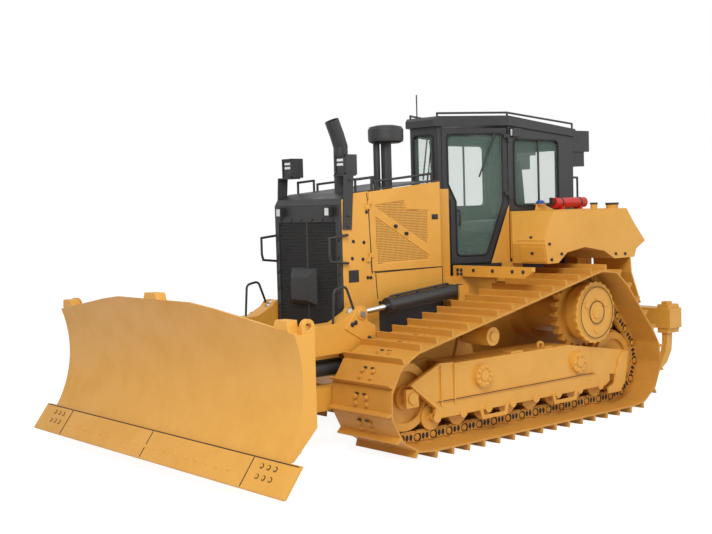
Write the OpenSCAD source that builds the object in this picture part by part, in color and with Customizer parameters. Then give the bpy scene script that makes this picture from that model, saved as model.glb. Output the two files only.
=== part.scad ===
// Bulldozer on wide tracks with an angling blade and a three-shank ripper.
// Millimetres. +X forward, +Y left, +Z up. The drawing is laid out from the front
// idler's axle (x = 0, ground z = 0) and placed on the box's bottom centre at the end.

/* [Tracks] */
// distance between the two track centres
track_gauge = 2286; // [2150:1:2420]
// width of one track shoe
shoe_w = 790; // [700:1:840]
// nominal pitch of the track chain
pitch_nominal = 203; // [190:1:216]
// height of the grouser bar over the shoe plate
grouser_h = 60; // [40:1:75]
// thickness of the shoe plate
shoe_t = 18; // [12:1:26]
// from chain pin to shoe plate
pin_h = 60; // [50:1:70]
// from chain pin to the rail the rollers run on
rail_d = 58; // [48:1:66]
// tread radius of both idlers
idler_r = 304; // [280:1:330]
// rear idler's axle behind the front one
rear_idler = 3030; // [2850:1:3200]
// sprocket axle behind the front idler's axle
sprocket_back = 2550; // [2400:1:2650]
// height of the sprocket axle
sprocket_z = 1076; // [1030:1:1110]
// pitch radius of the sprocket
sprocket_r = 367; // [345:1:385]
// radius of the final drive's outer cover
drive_cover_r = 318; // [280:1:330]
// half width of the track roller frame
frame_hw = 190; // [165:1:205]
// radius of the track rollers
roller_r = 105; // [90:1:108]

/* [Body] */
// half width of the main case
hull_hw = 470; // [430:1:480]
// half width over the hood's side panels
hood_hw = 500; // [492:1:520]
// height of the hood's front edge
hood_front_z = 2250; // [2230:1:2280]
// height of the hood's rear edge
hood_rear_z = 2470; // [2440:1:2500]
// length of the hood
hood_len = 1326; // [1310:1:1335]
// front face of the radiator guard
guard_x = 86; // [60:1:110]
// thickness of the hood's sheet panels
panel_t = 22; // [14:1:24]

/* [Cab] */
// half width of the windscreen wall
screen_hw = 190; // [180:1:215]
// outer half width of the cab
cab_hw = 560; // [545:1:575]
// underside of the roof
cab_top = 3030; // [2980:1:3080]
// thickness of the cab walls and doors
wall_t = 50; // [40:1:60]
// thickness of the window panes
pane_t = 8; // [5:1:12]
// half width over the fenders
fender_hw = 1250; // [1200:1:1300]
// top of the fenders
fender_z = 2130; // [2100:1:2150]

/* [Blade] */
// half width over the end bits
blade_hw = 2058; // [1980:1:2100]
// front of the cutting edge
blade_tip_x = 1996; // [1985:1:2010]
// height of the cutting edge over the ground at rest
blade_tip_z = 108; // [90:1:130]
// radius of the mouldboard's curve
board_r = 1050; // [1000:1:1080]
// thickness of the mouldboard
board_t = 25; // [20:1:28]
// radius of the C-frame's trunnion pins
trunnion_r = 60; // [50:1:64]
// radius of the lift cylinder's barrel
lift_r = 72; // [62:1:74]
// radius of the angle cylinder's barrel
angle_r = 65; // [58:1:66]
// bore of the lifting ear on the blade
ear_bore_d = 60; // [50:1:66]
// bore of the tow pin's plates
tow_bore_d = 50; // [44:1:60]

/* [Ripper] */
// rear face of the ripper beam
ripper_rear = 4750; // [4740:1:4770]
// half width of the ripper beam
ripper_hw = 960; // [930:1:1000]
// height of the ripper beam's section
ripper_h = 230; // [215:1:240]
// thickness of a shank
shank_t = 70; // [60:1:80]

/* [Fits] */
// running clearance on the radius of a pin or a rod
fit = 0.5; // [0.3:0.1:1]
// gap at edges that only sit beside each other
seam = 0.5; // [0.4:0.1:1]

/* [Hidden] */
$fn = 48;
mid_x = (blade_tip_x - ripper_rear) / 2;
track_y = track_gauge / 2;
shoe_in = track_y - shoe_w / 2;
wheel_clear = 0.3;
// rise of each shoe towards the machine, so that a track stands on the outer ends of its shoes
shoe_lean = 0.2;
idler_pitch = norm([idler_r + rail_d + wheel_clear, pitch_nominal / 2]);
idler_z = grouser_h + shoe_t + pin_h + idler_pitch;
front_c = [0, idler_z];
rear_c = [-rear_idler, idler_z];
drive_c = [-sprocket_back, sprocket_z];

// track path: the convex loop round both idlers and the sprocket, on the pin line
function run_angle(a, ra, b, rb) = atan2(b.y - a.y, b.x - a.x) - acos((ra - rb) / norm(b - a));
function run_len(a, ra, b, rb) = sqrt(pow(norm(b - a), 2) - pow(ra - rb, 2));
function turn(a, b) = ((b - a) % 360 + 360) % 360;
function dir(a) = [cos(a), sin(a)];
ang_low = run_angle(rear_c, idler_pitch, front_c, idler_pitch);
ang_top = run_angle(front_c, idler_pitch, drive_c, sprocket_r);
ang_back = run_angle(drive_c, sprocket_r, rear_c, idler_pitch);
len_low = run_len(rear_c, idler_pitch, front_c, idler_pitch);
len_top = run_len(front_c, idler_pitch, drive_c, sprocket_r);
len_back = run_len(drive_c, sprocket_r, rear_c, idler_pitch);
arc_front = turn(ang_low, ang_top) * PI / 180 * idler_pitch;
arc_drive = turn(ang_top, ang_back) * PI / 180 * sprocket_r;
arc_rear = turn(ang_back, ang_low) * PI / 180 * idler_pitch;
stop1 = len_low;
stop2 = stop1 + arc_front;
stop3 = stop2 + len_top;
stop4 = stop3 + arc_drive;
stop5 = stop4 + len_back;
loop_len = stop5 + arc_rear;
shoe_n = round(loop_len / pitch_nominal);
pitch = loop_len / shoe_n;
function on_arc(c, r, a0, s) = c + r * dir(a0 + s / r * 180 / PI);
function on_run(c, r, a, s) = c + r * dir(a) + s * dir(a + 90);
function wrap(s) = s - floor(s / loop_len) * loop_len;
function on_path(s) =
    s < stop1 ? on_run(rear_c, idler_pitch, ang_low, s) :
    s < stop2 ? on_arc(front_c, idler_pitch, ang_low, s - stop1) :
    s < stop3 ? on_run(front_c, idler_pitch, ang_top, s - stop2) :
    s < stop4 ? on_arc(drive_c, sprocket_r, ang_top, s - stop3) :
    s < stop5 ? on_run(drive_c, sprocket_r, ang_back, s - stop4) :
    on_arc(rear_c, idler_pitch, ang_back, s - stop5);
pins = [for (i = [0:shoe_n]) on_path(wrap((i + 0.3) * pitch))];
function along(i) = (pins[i + 1] - pins[i]) / norm(pins[i + 1] - pins[i]);
function outward(i) = [along(i).y, -along(i).x];
function at_link(i, t, n) = pins[i] + along(i) * t + outward(i) * n;
plate_out = pin_h + shoe_t;
tip_out = plate_out + grouser_h;
shoe_line = [for (i = [0:shoe_n - 1])
    each [at_link(i, 4, plate_out), at_link(i, 22, plate_out), at_link(i, 28, tip_out),
          at_link(i, 42, tip_out), at_link(i, 54, plate_out)]];
plate_line = [for (i = [0:shoe_n - 1])
    each [at_link(i, 2, pin_h), at_link(i, pitch - 2, pin_h)]];
rail_line = [for (i = [0:shoe_n - 1])
    each [at_link(i, 24, -rail_d), at_link(i, pitch - 24, -rail_d), at_link(i, pitch, 16 - rail_d)]];
seat_line = [for (i = [0:shoe_n - 1]) each [at_link(i, 2, pin_h + 8), at_link(i, pitch - 2, pin_h + 8)]];
link_in = 55;
link_out = 95;
roller_low_z = grouser_h + shoe_t + pin_h + rail_d + roller_r + wheel_clear;
roller_first = 300;
roller_step = 342;
roller_n = 8;
carrier_r = 88;
carrier_s = 1100;
carrier_c = on_run(front_c, idler_pitch, ang_top, carrier_s)
    - (rail_d + carrier_r + wheel_clear) * dir(ang_top);
frame_in = track_y - frame_hw;

// C-frame, lift linkage and blade
trunnion = [-900, 615];
arm_in = 545;
arm_out = 720;
lift_rear = [-1340, 1362];
lift_front = [42, 1236];
lift_y = 632;
lift_len = norm(lift_front - lift_rear);
lift_a = atan2(lift_front.y - lift_rear.y, lift_front.x - lift_rear.x);
lift_barrel = 985;
lift_rod_r = 29;
lift_eye_r = 70;
lift_pin_r = 25;
lift_drift = 24;
beam_x0 = 880;
beam_x1 = 1080;
ball = [1360, 550];
ball_r = 105;
swivel_pin_r = 50;
stub_r = 60;
board_back = 1535;
board_c = [1655 + board_r, 900];
angle_rear = [50, 605];
angle_front = [1420, 635];
angle_z = 760;
angle_len = norm(angle_front - angle_rear);
angle_yaw = atan2(angle_front.y - angle_rear.y, angle_front.x - angle_rear.x);
angle_rod_r = 34;
tilt_z = 1220;
tilt_x = 1460;
tilt_reach = 800;
tilt_r = 48;
tilt_rod_r = 27;

// cab
screen_x = -1500;
post_x = -2200;
cab_rear = -3280;
door_a = atan2(screen_hw - cab_hw, screen_x - post_x);
door_len = norm([screen_x - post_x, screen_hw - cab_hw]);
floor_z = 1585;
hinge_off = 22;
roof_drop = 95;
hood_back = guard_x - hood_len;
flange_x = guard_x - 28;
nose_x = guard_x - 36;
nose_rise = 56;
brow_x = -100;
brow_rise = 111;
function hood_z(x) = hood_front_z + (
    x > nose_x ? (guard_x - x) / (guard_x - nose_x) * nose_rise :
    x > brow_x ? nose_rise + (nose_x - x) / (nose_x - brow_x) * (brow_rise - nose_rise) :
    brow_rise + (brow_x - x) / (brow_x - hood_back) * (hood_rear_z - hood_front_z - brow_rise));
hood_t = 10;
function side_top(x) = hood_z(x) - hood_t - seam;
engine_hinge = [-270, hood_hw + 10];

// ripper linkage
rip_p1 = [-3670, 560];
rip_p2 = [-3670, 960];
rip_q1 = [-4440, 740];
rip_q2 = [-4440, 1140];
rip_top = [-3720, 1360];
rip_eye = [-3960, 660];
rip_tube = [-4120, 610];
rip_len = norm(rip_eye - rip_top);
rip_a = atan2(rip_eye.y - rip_top.y, rip_eye.x - rip_top.x);
rip_lug_in = 395;
rip_lug_t = 25;
rip_arm_in = 426;
rip_arm_t = 68;
rip_pin_r = 35;
beam_front = -4512;
beam_z = 700;
rip_cyl_y = 300;

// helpers
module slab(y0, y1) translate([0, y1, 0]) rotate([90, 0, 0]) linear_extrude(y1 - y0) children();
module wall(x0, x1) translate([x0, 0, 0]) rotate([90, 0, 90]) linear_extrude(x1 - x0) children();
module pair() {
    children();
    mirror([0, 1, 0]) children();
}
module y_cyl(c, r, y0, y1) translate([c.x, y0, c.y]) rotate([-90, 0, 0]) cylinder(r = r, h = y1 - y0);
module x_cyl(y, z, r, x0, x1) translate([x0, y, z]) rotate([0, 90, 0]) cylinder(r = r, h = x1 - x0);
module z_cyl(x, y, r, z0, z1) translate([x, y, z0]) cylinder(r = r, h = z1 - z0);
module bar(p, q, r) {
    d = q - p;
    translate(p) rotate([0, acos(d.z / norm(d)), atan2(d.y, d.x)]) cylinder(r = r, h = norm(d));
}
module block(x0, x1, y0, y1, z0, z1) translate([x0, y0, z0]) cube([x1 - x0, y1 - y0, z1 - z0]);
module round_rect(x0, x1, y0, y1, r) {
    translate([x0 + r, y0]) square([x1 - x0 - 2 * r, y1 - y0]);
    translate([x0, y0 + r]) square([x1 - x0, y1 - y0 - 2 * r]);
    for (x = [x0 + r, x1 - r]) for (y = [y0 + r, y1 - r]) translate([x, y]) circle(r);
}
// flat link between two pins
module link_bar(p, q, w, r) {
    a = atan2(q.y - p.y, q.x - p.x);
    translate(p) rotate(a) translate([0, -w / 2]) square([norm(q - p), w]);
    for (c = [p, q]) translate(c) circle(r);
}
// bent tube with a ball at each bend
module tube(points, r) {
    for (i = [0:len(points) - 2]) bar(points[i], points[i + 1], r);
    for (i = [1:1:len(points) - 2]) translate(points[i]) sphere(r + 0.6);
}

// tracks and what they run on
module track_one()
    translate([0, track_y + shoe_w / 2, 0]) rotate([-atan(shoe_lean / shoe_w), 0, 0])
    translate([0, -track_y - shoe_w / 2, 0]) {
    slab(track_y - shoe_w / 2, track_y + shoe_w / 2) difference() {
        polygon(shoe_line);
        polygon(plate_line);
    }
    for (y = [-link_out, link_in]) slab(track_y + y, track_y + y + link_out - link_in) difference() {
        polygon(seat_line);
        polygon(rail_line);
    }
}
module track_left() color("#3A3632") track_one();
module track_right() color("#3A3632") mirror([0, 1, 0]) track_one();

skirt_t = 38;
shaft_end = frame_hw - skirt_t;
module idler_at(c) {
    difference() {
        union() {
            y_cyl(c, idler_r, track_y - link_out, track_y + link_out);
            y_cyl(c, idler_r + 24, track_y - link_in + 6, track_y + link_in - 6);
        }
        y_cyl(c, idler_r - 70, track_y + 60, track_y + link_out + 1);
        y_cyl(c, idler_r - 70, track_y - link_out - 1, track_y - 60);
    }
    y_cyl(c, 110, track_y - link_out - 6, track_y + link_out + 6);
    y_cyl(c, 62, track_y - shaft_end, track_y + shaft_end);
}
module roller_at(c) {
    y_cyl(c, roller_r, track_y - link_out, track_y + link_out);
    y_cyl(c, roller_r + 16, track_y + link_out + 2, track_y + link_out + 18);
    y_cyl(c, roller_r + 16, track_y - link_out - 18, track_y - link_out - 2);
    y_cyl(c, 38, track_y - shaft_end, track_y + shaft_end);
}
module rollers_one() {
    idler_at(front_c);
    idler_at(rear_c);
    for (i = [0:roller_n - 1]) roller_at([-roller_first - i * roller_step, roller_low_z]);
    y_cyl(carrier_c, carrier_r, track_y - link_out, track_y + 225);
    y_cyl(carrier_c, 45, track_y - shaft_end, track_y + 240);
}
module rollers() color("#2B2B2B") pair() rollers_one();

pivot = [-2320, 585];
frame_side = [[-530, 440], [-515, 772], [-2200, 772], [-2560, 690], [-2640, 560], [-2560, 440]];
module skirt_shape() {
    polygon([[-280, 330], [-280, 440], [-2850, 440], [-2850, 330], [-2780, 290], [-330, 290]]);
    polygon([[30, 630], [-350, 790], [-531, 780], [-531, 439], [-350, 405], [-270, 396]]);
    polygon([[-2190, 439], [-2190, 768], [-2565, 714], [-3160, 618], [-2949, 392], [-2850, 400]]);
    for (x = [0, -rear_idler]) translate([x - 75, idler_z - 82]) square([150, 166]);
}
module frame_one() {
    difference() {
        slab(frame_in, track_y + frame_hw) polygon(frame_side);
        y_cyl(drive_c, sprocket_r + 32, track_y - 60, track_y + 60);
    }
    slab(frame_in, frame_in + skirt_t) skirt_shape();
    slab(track_y + shaft_end, track_y + frame_hw) skirt_shape();
    slab(frame_in, frame_in + skirt_t) {
        polygon([[carrier_c.x - 130, 771], [carrier_c.x - 60, carrier_c.y], [carrier_c.x + 60, carrier_c.y],
                 [carrier_c.x + 130, 771]]);
        translate(carrier_c) circle(60);
    }
    for (c = [trunnion, pivot]) y_cyl(c, 108, track_y + frame_hw, track_y + frame_hw + 36);
    y_cyl(trunnion, 120, frame_in - 60, frame_in);
    y_cyl(trunnion, trunnion_r, arm_in, frame_in - 60);
    y_cyl(pivot, 90, hull_hw, frame_in);
}
module track_frames() color("#DFA84E") pair() frame_one();

tooth_n = 23;
rim_n = 24;
module final_drive_one() {
    slab(track_y - 35, track_y + 35) polygon([for (i = [0:tooth_n - 1])
        each [(sprocket_r - 26) * dir(i * 360 / tooth_n - 5.4) + drive_c,
              (sprocket_r + 20) * dir(i * 360 / tooth_n - 2.2) + drive_c,
              (sprocket_r + 20) * dir(i * 360 / tooth_n + 2.2) + drive_c,
              (sprocket_r - 26) * dir(i * 360 / tooth_n + 5.4) + drive_c]]);
    y_cyl(drive_c, 250, track_y + 35, track_y + 101);
    y_cyl(drive_c, drive_cover_r - 26, track_y + 100, track_y + 215);
    slab(track_y + 214, track_y + 250) polygon([for (i = [0:4 * rim_n - 1])
        (drive_cover_r - (i % 4 < 2 ? 0 : 12)) * dir(i * 90 / rim_n) + drive_c]);
    y_cyl(drive_c, drive_cover_r - 48, track_y + 249, track_y + 258);
    for (a = [30, 150, 270]) y_cyl(drive_c + 175 * dir(a), 38, track_y + 257, track_y + 270);
    y_cyl(drive_c, 105, track_y + 257, track_y + 266);
    y_cyl(drive_c, 62, track_y + 265, track_y + 276);
    y_cyl(drive_c, 230, 640, track_y - 35);
    y_cyl(drive_c, 300, hull_hw, 640);
}
module final_drives() color("#DFA84E") pair() final_drive_one();

// main body
hull_side = [[120, 640], [120, 1000], [-1280, 1000], [-1280, 1480], [-3480, 1480], [-3560, 1300],
             [-3560, 560], [-3460, 480], [-150, 480]];
module main_frame() color("#DFA84E") {
    slab(-hull_hw, hull_hw) polygon(hull_side);
    block(-1480, -1285, -380, 380, 1480, 2380);
    pair() {
        block(-1440, -1290, hull_hw, 690, 1130, 1255);
        for (y = [572, 664]) slab(y, y + 28) polygon([[-1430, 1255], [-1415, 1410], [-1300, 1410], [-1290, 1255]]);
        y_cyl(lift_rear, 30, 600, 664);
        for (x = [[-2190, -2060], [-3350, -3100]]) wall(x[0], x[1]) polygon([[hull_hw, 1400], [shoe_in - 8, 1400],
            [shoe_in - 8, 1600], [cab_hw + 5, 1600], [cab_hw + 5, 1480], [hull_hw, 1480]]);
    }
}
module engine() color("#4A4A48") block(-1200, -85, -330, 330, 1000, 2100);

guard_in = 440;
guard_low = 1090;
guard_high = 2086;
guard_hw = hood_hw - panel_t - seam;
module radiator_guard() color("#2B2B2B") difference() {
    union() {
        slab(-hood_hw + 2, hood_hw - 2) polygon([[flange_x, 1000], [guard_x, 1000],
            [guard_x, side_top(guard_x)], [flange_x, side_top(flange_x)]]);
        slab(-guard_hw, guard_hw) polygon([[-40, 1000], [flange_x + 1, 1000],
            [flange_x + 1, side_top(flange_x + 1)], [nose_x, side_top(nose_x)], [-40, side_top(-40)]]);
    }
    block(20, guard_x + 1, -guard_in, guard_in, guard_low, guard_high);
}
module grille() color("#1E1E1E") {
    for (y = [-guard_in + seam, 3]) difference() {
        block(56, 72, y, y + guard_in - 3 - seam, guard_low + seam, guard_high - seam);
        for (k = [0:17]) block(50, 80, y + 40, y + guard_in - 43, guard_low + 40 + k * 52, guard_low + 70 + k * 52);
    }
    intersection() {
        slab(-260, 130) polygon([[72, 1290], [150, 1340], [150, 1560], [72, 1650]]);
        linear_extrude(2000) polygon([[72, -260], [150, -190], [150, 60], [72, 130]]);
    }
}
module hood_panels() color("#DFA84E") pair() {
    slab(hood_hw - panel_t, hood_hw) polygon([[flange_x - seam, 1002], [flange_x - seam, side_top(flange_x - seam)],
        [nose_x, side_top(nose_x)], [brow_x, side_top(brow_x)], [-272, side_top(-272)], [-290, 1596], [-1255, 1596], [-1255, 1312],
        [-376, 1312], [-376, 1002]]);
    for (z = hinge_zs) engine_knuckle(z);
}
hinge_zs = [1700, 2200];
module engine_knuckle(z) {
    z_cyl(engine_hinge.x, engine_hinge.y, 9, z, z + 40);
    block(engine_hinge.x, engine_hinge.x + 40, hood_hw, hood_hw + 16, z, z + 40);
    z_cyl(engine_hinge.x, engine_hinge.y, 5, z + 40, z + 80);
}
module hood_lower() color("#2B2B2B") pair()
    slab(hull_hw, hood_hw - 2) polygon([[-378, 985], [-378, 1308], [-1255, 1308], [-1255, 985]]);
stack_at = [-160, 250];
cleaner_at = [-748, 250];
pipe_off = [72, -62];
stack_r = 69;
stem_r = 52;
pipe_r = 33;
hood_line = [guard_x, nose_x, brow_x, hood_back];
module hood_top() color("#2B2B2B") difference() {
    slab(-hood_hw, hood_hw) polygon(concat([for (x = hood_line) [x, hood_z(x)]],
        [for (i = [3:-1:0]) [hood_line[i], hood_z(hood_line[i]) - hood_t]]));
    z_cyl(stack_at.x, stack_at.y, stack_r + 4, 2200, 2600);
    z_cyl(cleaner_at.x, cleaner_at.y, stem_r + 4, 2200, 2600);
    z_cyl(cleaner_at.x + pipe_off.x, cleaner_at.y + pipe_off.y, pipe_r + 4, 2200, 2600);
}
module engine_door_one() difference() {
    union() {
        slab(hood_hw - panel_t, hood_hw) polygon([[-280, side_top(-280) - 6], [-298, 1603],
            [hood_back + 6, 1603], [hood_back + 6, side_top(hood_back + 6) - 6]]);
        for (z = hinge_zs) {
            z_cyl(engine_hinge.x, engine_hinge.y, 9, z + 41, z + 79);
            block(engine_hinge.x - 40, engine_hinge.x, hood_hw, hood_hw + 16, z + 41, z + 79);
        }
    }
    for (z = hinge_zs) z_cyl(engine_hinge.x, engine_hinge.y, 5 + fit, z + 40, z + 80);
    slab(hood_hw - 7, hood_hw + 1) {
        polygon([[-372, 2203], [-356, 2236], [-733, 2275], [-767, 2187], [-1066, 2174], [-1054, 1820]]);
        polygon([[-361, 2125], [-1070, 1723], [-1070, 1683], [-371, 1666]]);
    }
}
module engine_door_left() color("#DFA84E") engine_door_one();
module engine_door_right() color("#DFA84E") mirror([0, 1, 0]) engine_door_one();

module exhaust_stack() color("#2B2B2B") translate([stack_at.x, stack_at.y, 0]) difference() {
    tube([[0, 0, 2100], [0, 0, 2800], [40, 0, 2910], [100, 0, 3045]], stack_r);
    bar([41, 0, 2912.25], [102, 0, 3049.5], stack_r - 8);
}
module air_precleaner() color("#2B2B2B") translate([cleaner_at.x, cleaner_at.y, 0]) {
    z_cyl(0, 0, stem_r, 2100, 2841);
    z_cyl(pipe_off.x, pipe_off.y, pipe_r, 2100, 2841);
    rotate_extrude() polygon([[0, 2840], [136, 2840], [171, 2858], [176, 2885], [176, 2975], [158, 3003],
        [90, 3018], [0, 3018]]);
}
lamp_plate = 12;
module front_lamps() color("#2B2B2B") pair() {
    slab(hood_hw, hood_hw + lamp_plate) polygon([[54, 2015], [-50, 2011], [-91, 2526], [27, 2526]]);
    block(-120, 10, 335, hood_hw + lamp_plate, 2514, 2526);
    block(-155, -20, 330, 490, 2525, 2715);
    block(guard_x, guard_x + 48, 335, 415, 2140, 2230);
    block(-2370, -2240, cab_hw, cab_hw + 45, 2915, 3005);
}
rail_r = 12;
module hood_rail(x0, x1, up) tube([[x0, 440, hood_z(x0 - rail_r) + 0.3], [x0, 440, hood_z(x0) + up],
    [x1, 440, hood_z(x1) + up], [x1, 440, hood_z(x1 - rail_r) + 0.3]], rail_r);
module handrails() color("#2B2B2B") {
    pair() {
        tube([[20, hood_hw, 1700], [20, hood_hw + 28, 1700], [225, hood_hw + 28, 1722], [240, hood_hw + 28, 1780],
              [240, hood_hw + 28, 1940], [20, hood_hw + 28, 1962], [20, hood_hw, 1962]], rail_r);
        hood_rail(-170, -375, 112);
        hood_rail(-420, -1180, 70);
        tube([[-1520, 200, cab_top + roof_t + 0.3], [-1520, 200, cab_top + roof_t + 32],
              [-2195, cab_hw, cab_top + roof_t + 32], [-3270, cab_hw, cab_top + 48],
              [-3270, cab_hw, cab_top - 6.5]], 11);
        z_cyl(-2195, cab_hw, 11, cab_top + roof_t + 0.3, cab_top + roof_t + 32);
        tube([[cab_rear, 480, 2484], [cab_rear - 170, 480, 2484], [cab_rear - 170, 480, 2210],
              [cab_rear, 480, 2210]], rail_r);
    }
    z_cyl(-1540, -120, 7, cab_top + roof_t, cab_top + roof_t + 250);
}

// cab
function roof_z(x) = x > post_x ? cab_top : cab_top - roof_drop * (post_x - x) / (post_x - cab_rear);
module door_plane() translate([post_x, cab_hw, 0]) rotate([90, 0, door_a]) children();
module cab_floor() color("#2B2B2B") block(cab_rear, -1600, -cab_hw + 10, cab_hw - 10, 1480, floor_z);
module step_beams() color("#DFA84E") pair()
    wall(-1600, -1550) polygon([[350, 1480], [1320, 1480], [1410, 1550], [1410, 1590], [350, 1590]]);
module screen_window(g) round_rect(-screen_hw + 45 + g, screen_hw - 45 - g, 2180 + g, 2950 - g, 40);
module cab_front() color("#2B2B2B") {
    difference() {
        block(screen_x - wall_t, screen_x, -screen_hw, screen_hw, floor_z, cab_top);
        wall(screen_x - wall_t - 1, screen_x + 1) screen_window(0);
    }
    pair() {
        door_plane() linear_extrude(wall_t) polygon([[door_len - 138, floor_z], [door_len - 138, 2235],
            [door_len - 58, 2400], [door_len - 58, cab_top], [door_len - 12, cab_top], [door_len - 12, floor_z]]);
    }
    block(screen_x - wall_t - 20, -1482, -300, 300, 1480, floor_z);
}
knuckle_zs = [2260, 2860];
hinge_axis = [post_x - hinge_off * sin(door_a), cab_hw + hinge_off * cos(door_a)];
module side_window(g) round_rect(-3020 + g, -2290 - g, 2190 + g, 2890 - g, 60);
module cab_side_one() {
    difference() {
        intersection() {
            slab(cab_hw - wall_t, cab_hw) polygon([[post_x, floor_z], [post_x, cab_top],
                [cab_rear, roof_z(cab_rear)], [cab_rear, floor_z]]);
            linear_extrude(cab_top + 1) polygon([[post_x, cab_hw], [post_x + wall_t * tan(door_a), cab_hw - wall_t],
                [cab_rear, cab_hw - wall_t], [cab_rear, cab_hw]]);
        }
        slab(cab_hw - wall_t - 1, cab_hw + 1) side_window(0);
    }
    door_plane() linear_extrude(wall_t) polygon([[-5, floor_z], [-5, 2195], [6, 2195], [208, 1600], [213, floor_z]]);
    for (z = knuckle_zs) {
        z_cyl(hinge_axis.x, hinge_axis.y, 14, z, z + 40);
        block(hinge_axis.x - 44, hinge_axis.x, cab_hw - 1, cab_hw + 30, z, z + 40);
        z_cyl(hinge_axis.x, hinge_axis.y, 8, z + 40, z + 80);
    }
}
module cab_side_left() color("#2B2B2B") cab_side_one();
module cab_side_right() color("#2B2B2B") mirror([0, 1, 0]) cab_side_one();
rear_half = cab_hw - wall_t - seam;
module rear_window(g) round_rect(-400 + g, 400 - g, 2200 + g, 2800 - g, 50);
module cab_rear_wall() color("#2B2B2B") difference() {
    block(cab_rear, cab_rear + wall_t, -rear_half, rear_half, floor_z, roof_z(cab_rear) - 2);
    wall(cab_rear - 1, cab_rear + wall_t + 1) rear_window(0);
}
roof_t = 105;
module cab_roof() color("#DFA84E") intersection() {
    linear_extrude(4000) polygon([[screen_x + 45, screen_hw + 20], [post_x + 12, cab_hw + 22],
        [cab_rear - 26, cab_hw + 22], [cab_rear - 26, -cab_hw - 22], [post_x + 12, -cab_hw - 22],
        [screen_x + 45, -screen_hw - 20]]);
    slab(-1000, 1000) polygon([[-1300, cab_top + seam], [post_x, cab_top + seam],
        [cab_rear - 30, roof_z(cab_rear - 30) + seam], [cab_rear - 30, roof_z(cab_rear - 30) + roof_t - 20],
        [post_x, cab_top + roof_t], [-1500, cab_top + roof_t], [-1440, cab_top + 60]]);
}
module cab_glass() color("#A8B8B4") {
    wall(screen_x - 30, screen_x - 30 + pane_t) screen_window(seam);
    pair() slab(cab_hw - 30, cab_hw - 30 + pane_t) side_window(seam);
    wall(cab_rear + 20, cab_rear + 20 + pane_t) rear_window(seam);
}
door_edge = [[14, 3008], [14, 2215], [225, 1600], [door_len - 145, 1600], [door_len - 145, 2240],
             [door_len - 65, 2415], [door_len - 65, 3008]];
function door_window(g) = [[68 + g, 2950 - g], [68 + g, 2240 + g], [262 + g, 1680 + g],
    [door_len - 205 - g, 1680 + g], [door_len - 205 - g, 2250], [door_len - 125 - g, 2430], [door_len - 125 - g, 2950 - g]];
module cab_door_one() difference() {
    union() {
        door_plane() linear_extrude(wall_t) difference() {
            polygon(door_edge);
            polygon(door_window(0));
        }
        for (z = knuckle_zs) {
            z_cyl(hinge_axis.x, hinge_axis.y, 14, z + 41, z + 79);
            translate([hinge_axis.x, hinge_axis.y, z + 41]) rotate([0, 0, door_a]) translate([0, -hinge_off, 0])
                cube([50, 28, 38]);
        }
    }
    for (z = knuckle_zs) z_cyl(hinge_axis.x, hinge_axis.y, 8 + fit, z + 40, z + 80);
}
module cab_door_left() color("#2B2B2B") cab_door_one();
module cab_door_right() color("#2B2B2B") mirror([0, 1, 0]) cab_door_one();
module door_pane() door_plane() translate([0, 0, 20]) linear_extrude(pane_t) polygon(door_window(seam));
module door_glass_left() color("#A8B8B4") door_pane();
module door_glass_right() color("#A8B8B4") mirror([0, 1, 0]) door_pane();

module seat() color("#333333") {
    block(-2700, -2300, -200, 200, floor_z, 1900);
    block(-2780, -2220, -260, 260, 1900, 2040);
    slab(-250, 250) polygon([[-2780, 2040], [-2680, 2040], [-2760, 2720], [-2840, 2720], [-2860, 2040]]);
}
module consoles() color("#3A3A3A") {
    pair() block(-2720, -2250, 330, 470, floor_z, 2200);
    slab(-130, 130) polygon([[-1560, floor_z], [-1560, 2150], [-1700, 2120], [-1740, floor_z]]);
}

fender_side = [[-1985, 1600], [-1946, 1800], [-2062, 2090], [-2105, fender_z], [-3299, fender_z],
               [-3445, 1957], [-3630, 1770], [-3470, 1690], [-3430, 1600], [-3080, 1600],
               [-2900, 1690], [-2580, 1743], [-2290, 1700], [-2150, 1600]];
fender_apron = [[-3345, 1640], [-3365, 1435], [-3525, 1090], [-3540, 1097], [-3381, 1440], [-3362, 1640]];
module fender_one() {
    difference() {
        slab(cab_hw + 10, fender_hw) polygon(fender_side);
        linear_extrude(3000) polygon([[post_x - 1, cab_hw], [post_x - 1, cab_hw + 30], [-1900, 861], [-1900, cab_hw]]);
    }
    slab(shoe_in + 12, fender_hw) polygon(fender_apron);
    z_cyl(-3000, 1050, 36, fender_z - 1, fender_z + 48);
    z_cyl(-3210, 1130, 64, fender_z - 1, fender_z + 40);
}
module fender_left() color("#DFA84E") fender_one();
module fender_right() color("#DFA84E") mirror([0, 1, 0]) fender_one();
module fender_fittings() color("#A02A20") {
    x_cyl(800, fender_z + 76, 55, -3150, -2640);
    for (x = [-2740, -3050]) block(x - 15, x + 15, 750, 850, fender_z, fender_z + 40);
}
module roof_unit() color("#2B2B2B") pair() {
    block(cab_rear - 370, cab_rear - 30, 290, 500, 2775, 3010);
    block(cab_rear - 31, cab_rear, 320, 470, 2780, 2925);
    block(cab_rear - 300, cab_rear - 75, 320, 480, 2610, 2776);
}
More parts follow.
